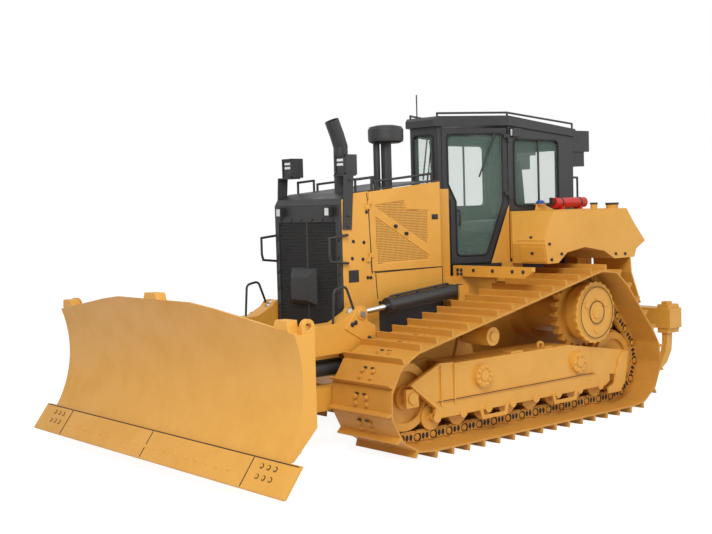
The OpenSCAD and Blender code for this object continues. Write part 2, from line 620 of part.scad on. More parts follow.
// C-frame and its cylinders
arm_side = [[-900, 530], [-900, 700], [-700, 690], [0, 610], [beam_x0, 610], [beam_x0, 400], [100, 400],
            [-700, 530]];
tower_side = [[-130, 900], [-130, 1120], [-45, 1160], [60, 1290], [300, 1172], [740, 1160], [beam_x0, 1010],
              [beam_x0, 900]];
module arm_one() difference() {
    union() {
        slab(arm_in, arm_out) {
            polygon(arm_side);
            translate(trunnion) circle(108);
            polygon([[-130, 600], [-130, 901], [-30, 901], [-30, 600]]);
        }
        slab(arm_in, arm_out) polygon(tower_side);
        slab(arm_in, arm_out) translate(lift_front) circle(78);
        slab(700, arm_out) polygon([[745, 609], [745, 901], [beam_x0, 901], [beam_x0, 609]]);
        z_cyl(angle_rear.x, angle_rear.y, 32, 609, 901);
    }
    y_cyl(trunnion, trunnion_r + fit, arm_in - 1, arm_out + 1);
    slab(lift_y - 36, lift_y + 36) {
        translate(lift_front) circle(lift_eye_r + lift_drift + 8);
        polygon([[-300, 1120], [-300, 1400], lift_front + [0, 100], lift_front + [60, -85], [-20, 1130]]);
    }
}
module arm_pin() y_cyl(lift_front, lift_pin_r, lift_y - 36, lift_y + 36);
module c_frame_arms() color("#DFA84E") pair() {
    arm_one();
    arm_pin();
}
module c_frame_beam() color("#DFA84E") {
    block(beam_x0, beam_x1, -arm_out, arm_out, 400, 610);
    difference() {
        union() {
            block(beam_x1 - 100, 1240, -140, 140, 370, 735);
            for (z = [370, 680]) {
                block(1240, ball.x, -90, 90, z, z + 55);
                z_cyl(ball.x, 0, 90, z, z + 55);
            }
        }
        z_cyl(ball.x, 0, swivel_pin_r + fit, 369, 736);
    }
}
module lift_dir() translate([lift_rear.x, lift_y, lift_rear.y]) rotate([0, 90 - lift_a, 0]) children();
module lift_barrel_one() difference() {
    union() {
        y_cyl(lift_rear, 58, lift_y - 30, lift_y + 30);
        lift_dir() {
            z_cyl(0, 0, 29, 45, 90);
            z_cyl(0, 0, lift_r, 88, lift_barrel);
        }
    }
    y_cyl(lift_rear, 30 + fit, lift_y - 31, lift_y + 31);
    lift_dir() z_cyl(0, 0, lift_rod_r + fit, 110, lift_barrel + 1);
}
module lift_barrels() color("#2B2B2B") pair() lift_barrel_one();
module lift_rods() color("#C8C8C8") pair() difference() {
    union() {
        lift_dir() z_cyl(0, 0, lift_rod_r, 390, lift_len - 52);
        y_cyl(lift_front, lift_eye_r, lift_y - 28, lift_y + 28);
    }
    y_cyl(lift_front, lift_pin_r + lift_drift, lift_y - 29, lift_y + 29);
}

// blade, its swivel and its cylinders
module blade_swivel() color("#3A3A3A") {
    translate([ball.x, 0, ball.y]) sphere(ball_r);
    z_cyl(ball.x, 0, swivel_pin_r, 372, 1160);
    x_cyl(0, ball.y, stub_r, ball.x, board_back - 4);
    block(ball.x - 50, 1425, -60, 60, 1150, 1290);
    x_cyl(0, tilt_z, 25, 1425, 1500);
}
crown = [[-1900, 330], [-1900, 1290], [-900, 1440], [-600, 1475], [600, 1475], [900, 1440], [1900, 1290], [1900, 330]];
ear_c = [1585, 1330];
module blade() color("#DFA84E") difference() {
    union() {
        intersection() {
            union() {
                difference() {
                    slab(-1900, 1900) translate(board_c) circle(board_r + board_t, $fn = 200);
                    block(1870, 4000, -2000, 2000, -500, 3000);
                }
                block(board_back, 1800, -1900, 1900, 330, 640);
                block(board_back, 1800, -1900, 1900, 1130, 1275);
                for (y = [-1900, -1300, -700, -240, 220, 680, 1280, 1870]) block(board_back, 1800, y, y + 30, 400, 1260);
            }
            wall(1400, 1900) polygon(crown);
        }
        block(1455, board_back, -120, 120, 460, 640);
        pair() {
            for (z = [angle_z - 82, angle_z + 52]) {
                block(angle_front.x, board_back + 60, angle_front.y - 60, angle_front.y + 60, z, z + 30);
                z_cyl(angle_front.x, angle_front.y, 60, z, z + 30);
            }
            z_cyl(angle_front.x, angle_front.y, 28, angle_z + 82, angle_z + 100);
            block(board_back, board_back + 80, angle_front.y - 60, angle_front.y + 60, angle_z - 120, angle_z + 120);
            slab(1850, 1890) {
                translate(ear_c) circle(60);
                polygon([[ear_c.x - 60, ear_c.y], [ear_c.x - 60, 1215], [ear_c.x + 60, 1215], [ear_c.x + 60, ear_c.y]]);
            }
            wall(1640, 1740) polygon([[1640, 1300], [1680, 1385], [1820, 1385], [1840, 1270]]);
        }
        wall(1730, 1830) polygon([[-120, 1440], [-90, 1530], [90, 1530], [120, 1440]]);
        block(1500, board_back, -tilt_reach - 60, -tilt_reach + 60, 1150, 1290);
        x_cyl(-tilt_reach, tilt_z, 22, 1425, 1500);
        x_cyl(-tilt_reach, tilt_z, 36, 1412, 1425);
    }
    slab(-2000, 2000) translate(board_c) circle(board_r, $fn = 200);
    x_cyl(0, ball.y, stub_r + fit, 1450, board_back + 20);
    pair() slab(1690, 1901) polygon([[board_back - 1, 329], [board_back - 1, 560], [1770, 329]]);
    pair() y_cyl(ear_c, ear_bore_d / 2, 1840, 1900);
}
edge_top = [1800, 330];
edge_profile = [edge_top, edge_top + [40, 0], [blade_tip_x, blade_tip_z + 14], [blade_tip_x - 4, blade_tip_z],
                [blade_tip_x - 26, blade_tip_z]];
module cutting_edge() color("#6A6A66") pair() {
    slab(2, 1498) polygon(edge_profile);
    slab(1502, blade_hw) polygon(edge_profile);
}
module angle_dir() translate([angle_rear.x, angle_rear.y, angle_z]) rotate([0, 0, angle_yaw]) children();
module trunnion_one() difference() {
    angle_dir() {
        z_cyl(0, 0, 62, -58, 58);
        translate([0, -92, 0]) rotate([-90, 0, 0]) cylinder(r = 24, h = 184);
    }
    z_cyl(angle_rear.x, angle_rear.y, 32 + fit, angle_z - 60, angle_z + 60);
}
module angle_trunnion_left() color("#4A4A48") trunnion_one();
module angle_trunnion_right() color("#4A4A48") mirror([0, 1, 0]) trunnion_one();
module angle_barrel_one() angle_dir() difference() {
    union() {
        x_cyl(0, 0, angle_r, 120, 690);
        for (s = [-1, 1]) translate([0, s * 79 - 11, 0]) {
            block(0, 125, 0, 22, -42, 42);
            rotate([-90, 0, 0]) cylinder(r = 42, h = 22);
        }
        block(100, 125, -90, 90, -42, 42);
    }
    translate([0, -95, 0]) rotate([-90, 0, 0]) cylinder(r = 24 + fit, h = 190);
    x_cyl(0, 0, angle_rod_r + fit, 135, 691);
}
module angle_barrel_left() color("#2B2B2B") angle_barrel_one();
module angle_barrel_right() color("#2B2B2B") mirror([0, 1, 0]) angle_barrel_one();
module angle_rod_one() angle_dir() {
    x_cyl(0, 0, angle_rod_r, 412, angle_len - 40);
    z_cyl(angle_len, 0, 52, -25, 25);
}
module angle_rod_left() color("#C8C8C8") angle_rod_one();
module angle_rod_right() color("#C8C8C8") mirror([0, 1, 0]) angle_rod_one();
module tilt_dir() translate([tilt_x, 0, tilt_z]) rotate([90, 0, 0]) children();
module tilt_barrel() color("#2B2B2B") difference() {
    union() {
        x_cyl(0, tilt_z, 50, tilt_x - 28, tilt_x + 28);
        tilt_dir() z_cyl(0, 0, 30, 30, 80);
        tilt_dir() z_cyl(0, 0, tilt_r, 78, 540);
    }
    x_cyl(0, tilt_z, 25 + fit, tilt_x - 29, tilt_x + 29);
    tilt_dir() z_cyl(0, 0, tilt_rod_r + fit, 100, 541);
}
module tilt_rod() color("#C8C8C8") difference() {
    union() {
        tilt_dir() z_cyl(0, 0, tilt_rod_r, 250, tilt_reach - 36);
        x_cyl(-tilt_reach, tilt_z, 46, tilt_x - 26, tilt_x + 26);
    }
    x_cyl(-tilt_reach, tilt_z, 22 + 8, tilt_x - 27, tilt_x + 27);
}

// ripper
rip_pins = [rip_p1, rip_p2];
module lugs(c0, c1) {
    slab(rip_lug_in, rip_lug_in + rip_lug_t) children();
    slab(rip_arm_in + rip_arm_t + 6, rip_arm_in + rip_arm_t + 6 + rip_lug_t) children();
    for (c = [c0, c1]) y_cyl(c, rip_pin_r, rip_lug_in + rip_lug_t, rip_arm_in + rip_arm_t + 6);
}
module ripper_mount() color("#DFA84E") {
    block(-3600, -3560, -560, 560, 500, 1440);
    pair() {
        lugs(rip_p1, rip_p2) for (c = rip_pins) {
            translate(c) circle(55);
            polygon([[-3599, c.y - 80], [-3599, c.y + 80], [c.x, c.y + 55], [c.x, c.y - 55]]);
        }
        for (y = [rip_cyl_y - 58, rip_cyl_y + 36]) slab(y, y + 22) {
            translate(rip_top) circle(50);
            polygon([[-3599, 1240], [-3599, 1430], [rip_top.x, rip_top.y + 50], [rip_top.x, rip_top.y - 50]]);
        }
        y_cyl(rip_top, 25, rip_cyl_y - 37, rip_cyl_y + 37);
    }
    difference() {
        for (z = [640, 750]) block(-3780, -3599, -80, 80, z, z + 30);
        z_cyl(-3725, 0, tow_bore_d / 2, 630, 790);
    }
}
module ripper_frame() color("#DFA84E") {
    pair() difference() {
        slab(rip_arm_in, rip_arm_in + rip_arm_t) link_bar(rip_p1, rip_q1, 90, 54);
        for (c = [rip_p1, rip_q1]) y_cyl(c, rip_pin_r + fit, rip_arm_in - 1, rip_arm_in + rip_arm_t + 1);
    }
    y_cyl(rip_tube, 58, -rip_arm_in - 1, rip_arm_in + 1);
    pair() for (y = [rip_cyl_y - 50, rip_cyl_y + 30]) slab(y, y + 20) link_bar(rip_tube, rip_eye, 70, 46);
    pair() y_cyl(rip_eye, 26, rip_cyl_y + 50, rip_cyl_y + 65);
}
module ripper_links() color("#DFA84E") pair() difference() {
    slab(rip_arm_in, rip_arm_in + rip_arm_t) link_bar(rip_p2, rip_q2, 76, 52);
    for (c = [rip_p2, rip_q2]) y_cyl(c, rip_pin_r + fit, rip_arm_in - 1, rip_arm_in + rip_arm_t + 1);
}
shank_at = [-850, 0, 850];
module ripper_beam() color("#DFA84E") {
    difference() {
        union() {
            block(-ripper_rear, beam_front, -ripper_hw, ripper_hw, beam_z, beam_z + ripper_h);
            for (y = shank_at) block(-ripper_rear + 1, -4530, y - 72, y + 72, beam_z - 60, beam_z + ripper_h + 45);
        }
        for (y = shank_at) block(-4670, -4560, y - shank_t / 2 - seam, y + shank_t / 2 + seam,
            beam_z - 61, beam_z + ripper_h + 46);
    }
    pair() lugs(rip_q1, rip_q2) polygon([[beam_front - 1, beam_z + 4], [rip_q1.x + 10, rip_q1.y - 50],
        [rip_q1.x + 55, rip_q1.y], [rip_q2.x + 52, rip_q2.y], [rip_q2.x + 20, rip_q2.y + 52], [rip_q2.x - 40, rip_q2.y + 52],
        [beam_front - 1, beam_z + ripper_h - 4]]);
}
module ripper_shanks() color("#3A3A3A") for (y = shank_at) slab(y - shank_t / 2, y + shank_t / 2)
    polygon([[-4669, 1010], [-4561, 1010], [-4561, 520], [-4530, 420], [-4440, 300], [-4300, 205], [-4290, 180],
             [-4420, 215], [-4560, 300], [-4650, 430], [-4669, 560]]);
module rip_dir(y) translate([rip_top.x, y, rip_top.y]) rotate([0, 90 - rip_a, 0]) children();
module ripper_barrels() color("#2B2B2B") pair() difference() {
    union() {
        y_cyl(rip_top, 48, rip_cyl_y - 30, rip_cyl_y + 30);
        rip_dir(rip_cyl_y) z_cyl(0, 0, 29, 30, 70);
        rip_dir(rip_cyl_y) z_cyl(0, 0, 48, 68, 470);
    }
    y_cyl(rip_top, 25 + fit, rip_cyl_y - 31, rip_cyl_y + 31);
    rip_dir(rip_cyl_y) z_cyl(0, 0, 26 + fit, 90, 471);
}
module ripper_rods() color("#C8C8C8") pair() {
    rip_dir(rip_cyl_y) z_cyl(0, 0, 26, 240, rip_len - 20);
    y_cyl(rip_eye, 42, rip_cyl_y - 17, rip_cyl_y + 17);
}

module at_origin() translate([-mid_x, 0, 0]) children();

at_origin() main_frame();
at_origin() engine();
at_origin() radiator_guard();
at_origin() grille();
at_origin() hood_panels();
at_origin() hood_lower();
at_origin() hood_top();
at_origin() engine_door_left();
at_origin() engine_door_right();
at_origin() exhaust_stack();
at_origin() air_precleaner();
at_origin() front_lamps();
at_origin() handrails();
at_origin() cab_floor();
at_origin() step_beams();
at_origin() cab_front();
at_origin() cab_side_left();
at_origin() cab_side_right();
at_origin() cab_rear_wall();
at_origin() cab_roof();
at_origin() cab_glass();
at_origin() cab_door_left();
at_origin() cab_door_right();
at_origin() door_glass_left();
at_origin() door_glass_right();
at_origin() seat();
at_origin() consoles();
at_origin() fender_left();
at_origin() fender_right();
at_origin() fender_fittings();
at_origin() roof_unit();
at_origin() track_left();
at_origin() track_right();
at_origin() rollers();
at_origin() track_frames();
at_origin() final_drives();
at_origin() c_frame_arms();
at_origin() c_frame_beam();
at_origin() lift_barrels();
at_origin() lift_rods();
at_origin() blade_swivel();
at_origin() blade();
at_origin() cutting_edge();
at_origin() angle_trunnion_left();
at_origin() angle_trunnion_right();
at_origin() angle_barrel_left();
at_origin() angle_barrel_right();
at_origin() angle_rod_left();
at_origin() angle_rod_right();
at_origin() tilt_barrel();
at_origin() tilt_rod();
at_origin() ripper_mount();
at_origin() ripper_frame();
at_origin() ripper_links();
at_origin() ripper_beam();
at_origin() ripper_shanks();
at_origin() ripper_barrels();
at_origin() ripper_rods();
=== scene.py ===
"""Looks of a tracked bulldozer with an angling blade and a ripper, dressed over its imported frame."""

import math

import bmesh
import bpy
from mathutils import Matrix, Vector
from mathutils.bvhtree import BVHTree


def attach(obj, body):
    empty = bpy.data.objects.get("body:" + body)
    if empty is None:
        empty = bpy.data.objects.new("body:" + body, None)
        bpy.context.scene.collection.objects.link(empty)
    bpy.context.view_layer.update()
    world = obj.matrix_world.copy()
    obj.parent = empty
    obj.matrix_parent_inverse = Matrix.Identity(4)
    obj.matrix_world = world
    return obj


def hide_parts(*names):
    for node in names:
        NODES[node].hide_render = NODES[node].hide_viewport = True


bl_info = {
    "name": "Bulldozer looks",
    "version": (1, 0, 0),
    "blender": (4, 5, 0),
    "location": "View3D > Sidebar > Dozer",
    "description": "Paints and trims the packed bulldozer and lights it on a pale floor",
    "category": "Object",
}

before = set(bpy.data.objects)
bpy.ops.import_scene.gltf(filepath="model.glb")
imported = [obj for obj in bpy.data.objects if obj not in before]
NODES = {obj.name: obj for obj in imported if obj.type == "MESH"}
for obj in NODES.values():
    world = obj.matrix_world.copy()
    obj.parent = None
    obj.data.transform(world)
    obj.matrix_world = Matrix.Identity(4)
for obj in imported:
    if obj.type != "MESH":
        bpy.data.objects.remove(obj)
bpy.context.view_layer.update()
# the drawing is laid out in millimetres from the front idler's axle
AXLE_X = 1.377
# outer faces of the hood and the roller frame, and the middle of a lift cylinder, from the machine's middle
HOOD_Y, FRAME_Y, LIFT_Y = 500, 1333, 632
SIDES = (("left", 1), ("right", -1))
FORWARD, SIDEWAYS, UPWARD = (1, 0, 0), (0, 1, 0), (0, 0, 1)
WHITE = (1.0, 1.0, 1.0, 1.0)


def at(x, y, z):
    """A point given in the drawing's millimetres, in the frame's metres."""
    return Vector((x / 1000 + AXLE_X, y / 1000, z / 1000))


def linear(code):
    """An sRGB hex colour as linear RGBA."""
    parts = [int(code[i:i + 2], 16) / 255 for i in (1, 3, 5)]
    return [p / 12.92 if p <= 0.04045 else ((p + 0.055) / 1.055) ** 2.4 for p in parts] + [1.0]


def add(tree, kind, inputs=None, **settings):
    """Add one node, set its properties, set or link its inputs, and give its outputs."""
    node = tree.nodes.new(kind)
    for name, value in settings.items():
        setattr(node, name, value)
    for key, value in (inputs or {}).items():
        if isinstance(value, bpy.types.NodeSocket):
            tree.links.new(value, node.inputs[key])
        else:
            node.inputs[key].default_value = value
    return node.outputs


class DozerFinish(bpy.types.PropertyGroup):
    """Colours of the paints, the glass and the filler's cap."""

    yellow: bpy.props.StringProperty(
        name="Yellow", description="Yellow enamel on the body and blade", default="#DCA03F")
    dusk: bpy.props.StringProperty(
        name="Dulled yellow", description="Yellow enamel where dust lies on it", default="#C68D37")
    black: bpy.props.StringProperty(
        name="Black", description="Black enamel on the cab and guards", default="#232324")
    glass: bpy.props.StringProperty(
        name="Glass", description="Tint of the window panes", default="#A6CDBB")
    red: bpy.props.StringProperty(
        name="Red", description="Enamel on the fire bottle", default="#C8231E")
    blue: bpy.props.StringProperty(
        name="Blue", description="Moulded cap on the filler", default="#1F4FA8")


class DozerHardware(bpy.types.PropertyGroup):
    """Sizes of the bolts and pipes that trim the machine."""

    bolt: bpy.props.FloatProperty(
        name="Bolt head", description="Radius of a plain bolt head",
        default=0.016, min=0.004, unit="LENGTH")
    shoe_bolt: bpy.props.FloatProperty(
        name="Shoe bolt", description="Radius of a track shoe's bolt head",
        default=0.018, min=0.004, unit="LENGTH")
    pipe: bpy.props.FloatProperty(
        name="Pipe", description="Radius of a steel oil pipe",
        default=0.012, min=0.004, unit="LENGTH")


class DozerStage(bpy.types.PropertyGroup):
    """Floor, lights and camera."""

    lens: bpy.props.FloatProperty(
        name="Lens", description="Focal length on a 36 mm wide sensor",
        default=57.34, min=10, unit="CAMERA")
    key: bpy.props.FloatProperty(
        name="Key light", description="Power of the large soft light", default=950, min=0, unit="POWER")
    world: bpy.props.FloatProperty(
        name="World", description="Strength of the even surrounding light", default=0.42, min=0)


def new_finish(name):
    """The empty node tree of a new material."""
    paint = bpy.data.materials.new(name)
    paint.use_nodes = True
    paint.node_tree.nodes.clear()
    return paint.node_tree


def enamel(name, colour, dust, roughness, peel, highlight_strength):
    """Sprayed enamel: even satin colour, dust dulling it in broad patches, edges made paler by a painted
    highlight.
    """
    tree = new_finish(name)
    place = add(tree, "ShaderNodeTexCoord")["Object"]
    # dust lies in patches about 350 mm across, so the noise has 1 / 0.35 = 2.9 cells a metre
    patches = add(tree, "ShaderNodeTexNoise", {
        "Vector": place, "Scale": 2.9, "Detail": 5.0, "Roughness": 0.62})["Fac"]
    spread = add(tree, "ShaderNodeMapRange", {
        "Value": patches, "From Min": 0.42, "From Max": 0.72, "To Min": 0.0, "To Max": 0.34})
    tone = add(tree, "ShaderNodeMix", {
        "Factor": spread["Result"], "A": colour, "B": dust}, data_type="RGBA")
    # a painted highlight lightens the edges over about 5 mm, found where the rounded normal leaves the flat
    # one
    soft = add(tree, "ShaderNodeBevel", {"Radius": 0.005}, samples=6)["Normal"]
    flat = add(tree, "ShaderNodeNewGeometry")["True Normal"]
    turned = add(tree, "ShaderNodeVectorMath", {0: soft, 1: flat}, operation="DOT_PRODUCT")
    edge = add(tree, "ShaderNodeMapRange", {
        "Value": turned["Value"], "From Min": 0.985, "From Max": 0.86,
        "To Min": 0.0, "To Max": highlight_strength})
    highlight_colour = [min(1.0, c * 1.35 + 0.03) for c in colour[:3]] + [1.0]
    pale = add(tree, "ShaderNodeMix", {
        "Factor": edge["Result"], "A": tone["Result"], "B": highlight_colour}, data_type="RGBA")
    # orange peel is about 2 mm across on a real panel and is drawn at 12 mm so that it shows
    cells = add(tree, "ShaderNodeTexNoise", {"Vector": place, "Scale": 83.0, "Detail": 2.0})
    bump = add(tree, "ShaderNodeBump", {
        "Height": cells["Fac"], "Strength": peel, "Distance": 0.002, "Normal": soft})
    sheen = add(tree, "ShaderNodeMapRange", {
        "Value": patches, "From Min": 0.3, "From Max": 0.75,
        "To Min": roughness - 0.06, "To Max": roughness + 0.16})
    body = add(tree, "ShaderNodeBsdfPrincipled", {
        "Base Color": pale["Result"], "Roughness": sheen["Result"],
        "Normal": bump["Normal"]})
    add(tree, "ShaderNodeOutputMaterial", {"Surface": body["BSDF"]})


def coat(tree, shade, colours, surface, rough=None, bump=None):
    """Finish a material that goes from one look to another with a shade from nought to one.

    It takes two colours, constants for the surface, two roughnesses, and a bump's strength and height.
    """
    first, second = colours
    tone = add(tree, "ShaderNodeMix", {"Factor": shade, "A": first, "B": second}, data_type="RGBA")
    surface = {"Base Color": tone["Result"], **surface}
    if rough:
        spread = add(tree, "ShaderNodeMapRange", {"Value": shade, "To Min": rough[0], "To Max": rough[1]})
        surface["Roughness"] = spread["Result"]
    if bump:
        raised = add(tree, "ShaderNodeBump", {"Height": shade, "Strength": bump[0], "Distance": bump[1]})
        surface["Normal"] = raised["Normal"]
    body = add(tree, "ShaderNodeBsdfPrincipled", surface)
    add(tree, "ShaderNodeOutputMaterial", {"Surface": body["BSDF"]})


def chromed(name):
    """Hard chrome on a ground rod: a mirror, faintly clouded by its grinding marks."""
    tree = new_finish(name)
    place = add(tree, "ShaderNodeTexCoord")["Object"]
    # grinding marks are hair fine and are drawn 6 mm across so that they show
    marks = add(tree, "ShaderNodeTexNoise", {"Vector": place, "Scale": 166.0, "Detail": 3.0})["Fac"]
    coat(tree, marks, (linear("#D9DBDD"), linear("#B9BDC2")), {"Metallic": 1.0}, rough=(0.10, 0.26))


def tinted_glass(name, colour):
    """Laminated safety glass: clear, a little green, with a thin and patchy film of dust."""
    tree = new_finish(name)
    place = add(tree, "ShaderNodeTexCoord")["Object"]
    # the dust film breaks up over about 150 mm, so the noise has 1 / 0.15 = 6.7 cells a metre
    film = add(tree, "ShaderNodeTexNoise", {"Vector": place, "Scale": 6.7, "Detail": 4.0})["Fac"]
    coat(tree, film, (colour, linear("#8FA89C")), {"IOR": 1.52, "Alpha": 0.13}, rough=(0.02, 0.09))


def moulded(name, colour, roughness, grain_mm):
    """Moulded plastic or rubber: one colour with a grained skin that breaks up the light."""
    tree = new_finish(name)
    place = add(tree, "ShaderNodeTexCoord")["Object"]
    grain = add(tree, "ShaderNodeTexVoronoi", {"Vector": place, "Scale": 1000 / grain_mm})["Distance"]
    darker = [c * 0.78 for c in colour[:3]] + [1.0]
    coat(tree, grain, (colour, darker), {}, rough=(roughness - 0.05, roughness + 0.1), bump=(0.25, 0.001))


def woven(name, colour):
    """Seat cloth: crossing threads with a soft matt face."""
    tree = new_finish(name)
    place = add(tree, "ShaderNodeTexCoord")["Object"]
    # threads are 1 mm apart on the seat and are drawn 6 mm apart so that they show
    wave = {"Vector": place, "Scale": 52.0}
    warp = add(tree, "ShaderNodeTexWave", wave, bands_direction="X")["Fac"]
    weft = add(tree, "ShaderNodeTexWave", wave, bands_direction="DIAGONAL")["Fac"]
    threads = add(tree, "ShaderNodeMath", {0: warp, 1: weft}, operation="MULTIPLY")["Value"]
    lighter = [c * 1.7 for c in colour[:3]] + [1.0]
    coat(tree, threads, (colour, lighter), {"Roughness": 0.88, "Sheen Weight": 0.3}, bump=(0.4, 0.002))


def material(name):
    """The finish of that name, once made."""
    return bpy.data.materials[name]


def make_materials():
    """Every finish on the machine, under its plain name."""
    finish = bpy.context.scene.dozer_finish
    # satin paints, dusty in patches and paler at the edges by a painted highlight; the track's is duller,
    # its colour darkened all over as painted shade, and its painted edge highlight is stronger
    enamel("yellow enamel", linear(finish.yellow), linear(finish.dusk), 0.42, 0.12, 0.6)
    enamel("yellow track enamel", linear("#C98E36"), linear("#A0702D"), 0.52, 0.2, 0.7)
    enamel("black enamel", linear(finish.black), linear("#353432"), 0.46, 0.12, 0.35)
    enamel("red enamel", linear(finish.red), linear("#9E2A22"), 0.3, 0.06, 0.3)
    # bare metals: rough grey castings, greased pins and mirror-bright rods
    enamel("grey cast iron", linear("#4A4A48"), linear("#5B5650"), 0.7, 0.5, 0.2)
    enamel("steel pin", linear("#7C7A76"), linear("#5E5850"), 0.4, 0.2, 0.5)
    chromed("hard chrome")
    tinted_glass("laminated glass", linear(finish.glass))
    # grained skins: dull black, glossy blue, matt rubber, which also serves for painted shade in holes,
    # wells and shadow lines, and a bright lens
    moulded("black moulded plastic", linear("#232324"), 0.55, 6.0)
    moulded("blue moulded plastic", linear(finish.blue), 0.4, 5.0)
    moulded("black rubber", linear("#1B1B1C"), 0.72, 8.0)
    moulded("clear lamp plastic", linear("#E8ECEC"), 0.18, 14.0)
    woven("seat cloth", linear("#2E2F31"))


PAINTED = {
    "yellow enamel": (
        "main_frame hood_panels engine_door_left engine_door_right step_beams fender_left fender_right"
        " track_frames final_drives c_frame_arms c_frame_beam blade cutting_edge blade_swivel rollers"
        " angle_trunnion_left angle_trunnion_right ripper_mount ripper_frame ripper_links ripper_beam"
        " ripper_shanks"),
    "yellow track enamel": "track_left track_right",
    "black enamel": (
        # hood_lower takes black enamel as painted shade under the hood
        "radiator_guard grille hood_lower hood_top exhaust_stack air_precleaner front_lamps handrails"
        " cab_floor cab_front cab_side_left cab_side_right cab_rear_wall cab_roof cab_door_left"
        " cab_door_right roof_unit lift_barrels angle_barrel_left angle_barrel_right tilt_barrel"
        " ripper_barrels"),
    "hard chrome": "lift_rods angle_rod_left angle_rod_right tilt_rod ripper_rods",
    "laminated glass": "cab_glass door_glass_left door_glass_right",
    "grey cast iron": "engine",
    "black moulded plastic": "consoles seat",
    "red enamel": "fender_fittings",
}


class DOZER_OT_finishes(bpy.types.Operator):
    """Make every finish and node tree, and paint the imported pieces"""

    bl_idname = "dozer.finishes"
    bl_label = "Finishes"

    def execute(self, context):
        make_materials()
        bolt_tree()
        pipe_tree()
        copy_tree()
        for name, nodes in PAINTED.items():
            for node in nodes.split():
                mesh = NODES[node].data
                mesh.materials.clear()
                mesh.materials.append(material(name))
        return {"FINISHED"}


def new_tree(name, inputs):
    """A Geometry Nodes tree with one output, and its inputs, each a name, a kind and a first value."""
    tree = bpy.data.node_groups.new(name, "GeometryNodeTree")
    for label, kind, value in inputs:
        socket = tree.interface.new_socket(name=label, in_out="INPUT", socket_type="NodeSocket" + kind)
        if value is not None:
            socket.default_value = value
    tree.interface.new_socket(name="Result", in_out="OUTPUT", socket_type="NodeSocketGeometry")
    return tree, add(tree, "NodeGroupInput")


def hand_out(tree, shape, finish):
    """Make a tree's copies real, paint them and send them to its output."""
    real = add(tree, "GeometryNodeRealizeInstances", {"Geometry": shape})
    painted = add(tree, "GeometryNodeSetMaterial", {
        "Geometry": real["Geometry"], "Material": finish})
    add(tree, "NodeGroupOutput", {"Result": painted["Geometry"]})


def bolt_tree():
    """Geometry Nodes that set one bolt head and washer on every vertex, turned along its aim."""
    tree, given = new_tree("bolt_heads", (
        ("Spots", "Geometry", None), ("Radius", "Float", 0.016), ("Height", "Float", 0.012),
        ("Washer", "Float", 1.45), ("Sides", "Int", 6), ("Finish", "Material", None)))
    head = add(tree, "GeometryNodeMeshCylinder", {
        "Vertices": given["Sides"], "Radius": given["Radius"], "Depth": given["Height"]})
    half = add(tree, "ShaderNodeMath", {0: given["Height"], 1: 0.5}, operation="MULTIPLY")["Value"]
    lift = add(tree, "ShaderNodeCombineXYZ", {"Z": half})
    raised = add(tree, "GeometryNodeTransform", {
        "Geometry": head["Mesh"], "Translation": lift["Vector"]})
    wide = add(tree, "ShaderNodeMath", {0: given["Radius"], 1: given["Washer"]}, operation="MULTIPLY")
    washer = add(tree, "GeometryNodeMeshCylinder", {
        "Vertices": 14, "Radius": wide["Value"], "Depth": half})
    both = add(tree, "GeometryNodeJoinGeometry", {"Geometry": raised["Geometry"]})["Geometry"]
    tree.links.new(washer["Mesh"], both.node.inputs["Geometry"])
    aim = add(tree, "GeometryNodeInputNamedAttribute", {"Name": "aim"}, data_type="FLOAT_VECTOR")
    turn = add(tree, "FunctionNodeAlignRotationToVector", {"Vector": aim["Attribute"]}, axis="Z")
    placed = add(tree, "GeometryNodeInstanceOnPoints", {
        "Points": given["Spots"], "Instance": both, "Rotation": turn["Rotation"]})
    hand_out(tree, placed["Instances"], given["Finish"])


def pipe_tree():
    """Geometry Nodes that sweep a round bar along every chain of edges, with its corners bent."""
    tree, given = new_tree("bent_pipes", (
        ("Route", "Geometry", None), ("Radius", "Float", 0.012), ("Bend", "Float", 0.04),
        ("Finish", "Material", None)))
    path = add(tree, "GeometryNodeMeshToCurve", {"Mesh": given["Route"]})
    bent = add(tree, "GeometryNodeFilletCurve", {
        "Curve": path["Curve"], "Radius": given["Bend"], "Limit Radius": True, "Count": 5},
        mode="POLY")
    section = add(tree, "GeometryNodeCurvePrimitiveCircle", {"Resolution": 10, "Radius": given["Radius"]})
    swept = add(tree, "GeometryNodeCurveToMesh", {
        "Curve": bent["Curve"], "Profile Curve": section["Curve"], "Fill Caps": True})
    smooth = add(tree, "GeometryNodeSetShadeSmooth", {"Geometry": swept["Mesh"]})
    hand_out(tree, smooth["Geometry"], given["Finish"])


def copy_tree():
    """Geometry Nodes that set a copy of one shape on every vertex, turned by the vertex's own angles."""
    tree, given = new_tree("set_copies", (
        ("Spots", "Geometry", None), ("Shape", "Object", None), ("Finish", "Material", None)))
    shape = add(tree, "GeometryNodeObjectInfo", {"Object": given["Shape"]})
    angles = add(tree, "GeometryNodeInputNamedAttribute", {"Name": "turn"}, data_type="FLOAT_VECTOR")
    turn = add(tree, "FunctionNodeEulerToRotation", {"Euler": angles["Attribute"]})
    placed = add(tree, "GeometryNodeInstanceOnPoints", {
        "Points": given["Spots"], "Instance": shape["Geometry"], "Rotation": turn["Rotation"]})
    hand_out(tree, placed["Instances"], given["Finish"])


def new_piece(name, mesh):
    """An object in the scene, of a mesh, a camera or a light."""
    piece = bpy.data.objects.new(name, mesh)
    bpy.context.collection.objects.link(piece)
    return piece


def keep(piece, change):
    """Take what a piece's modifier makes as its plain mesh."""
    first = piece.data
    ready = piece.evaluated_get(bpy.context.evaluated_depsgraph_get())
    result = bpy.data.meshes.new_from_object(ready)
    piece.modifiers.remove(change)
    piece.data = result
    bpy.data.meshes.remove(first)
    result.name = piece.name


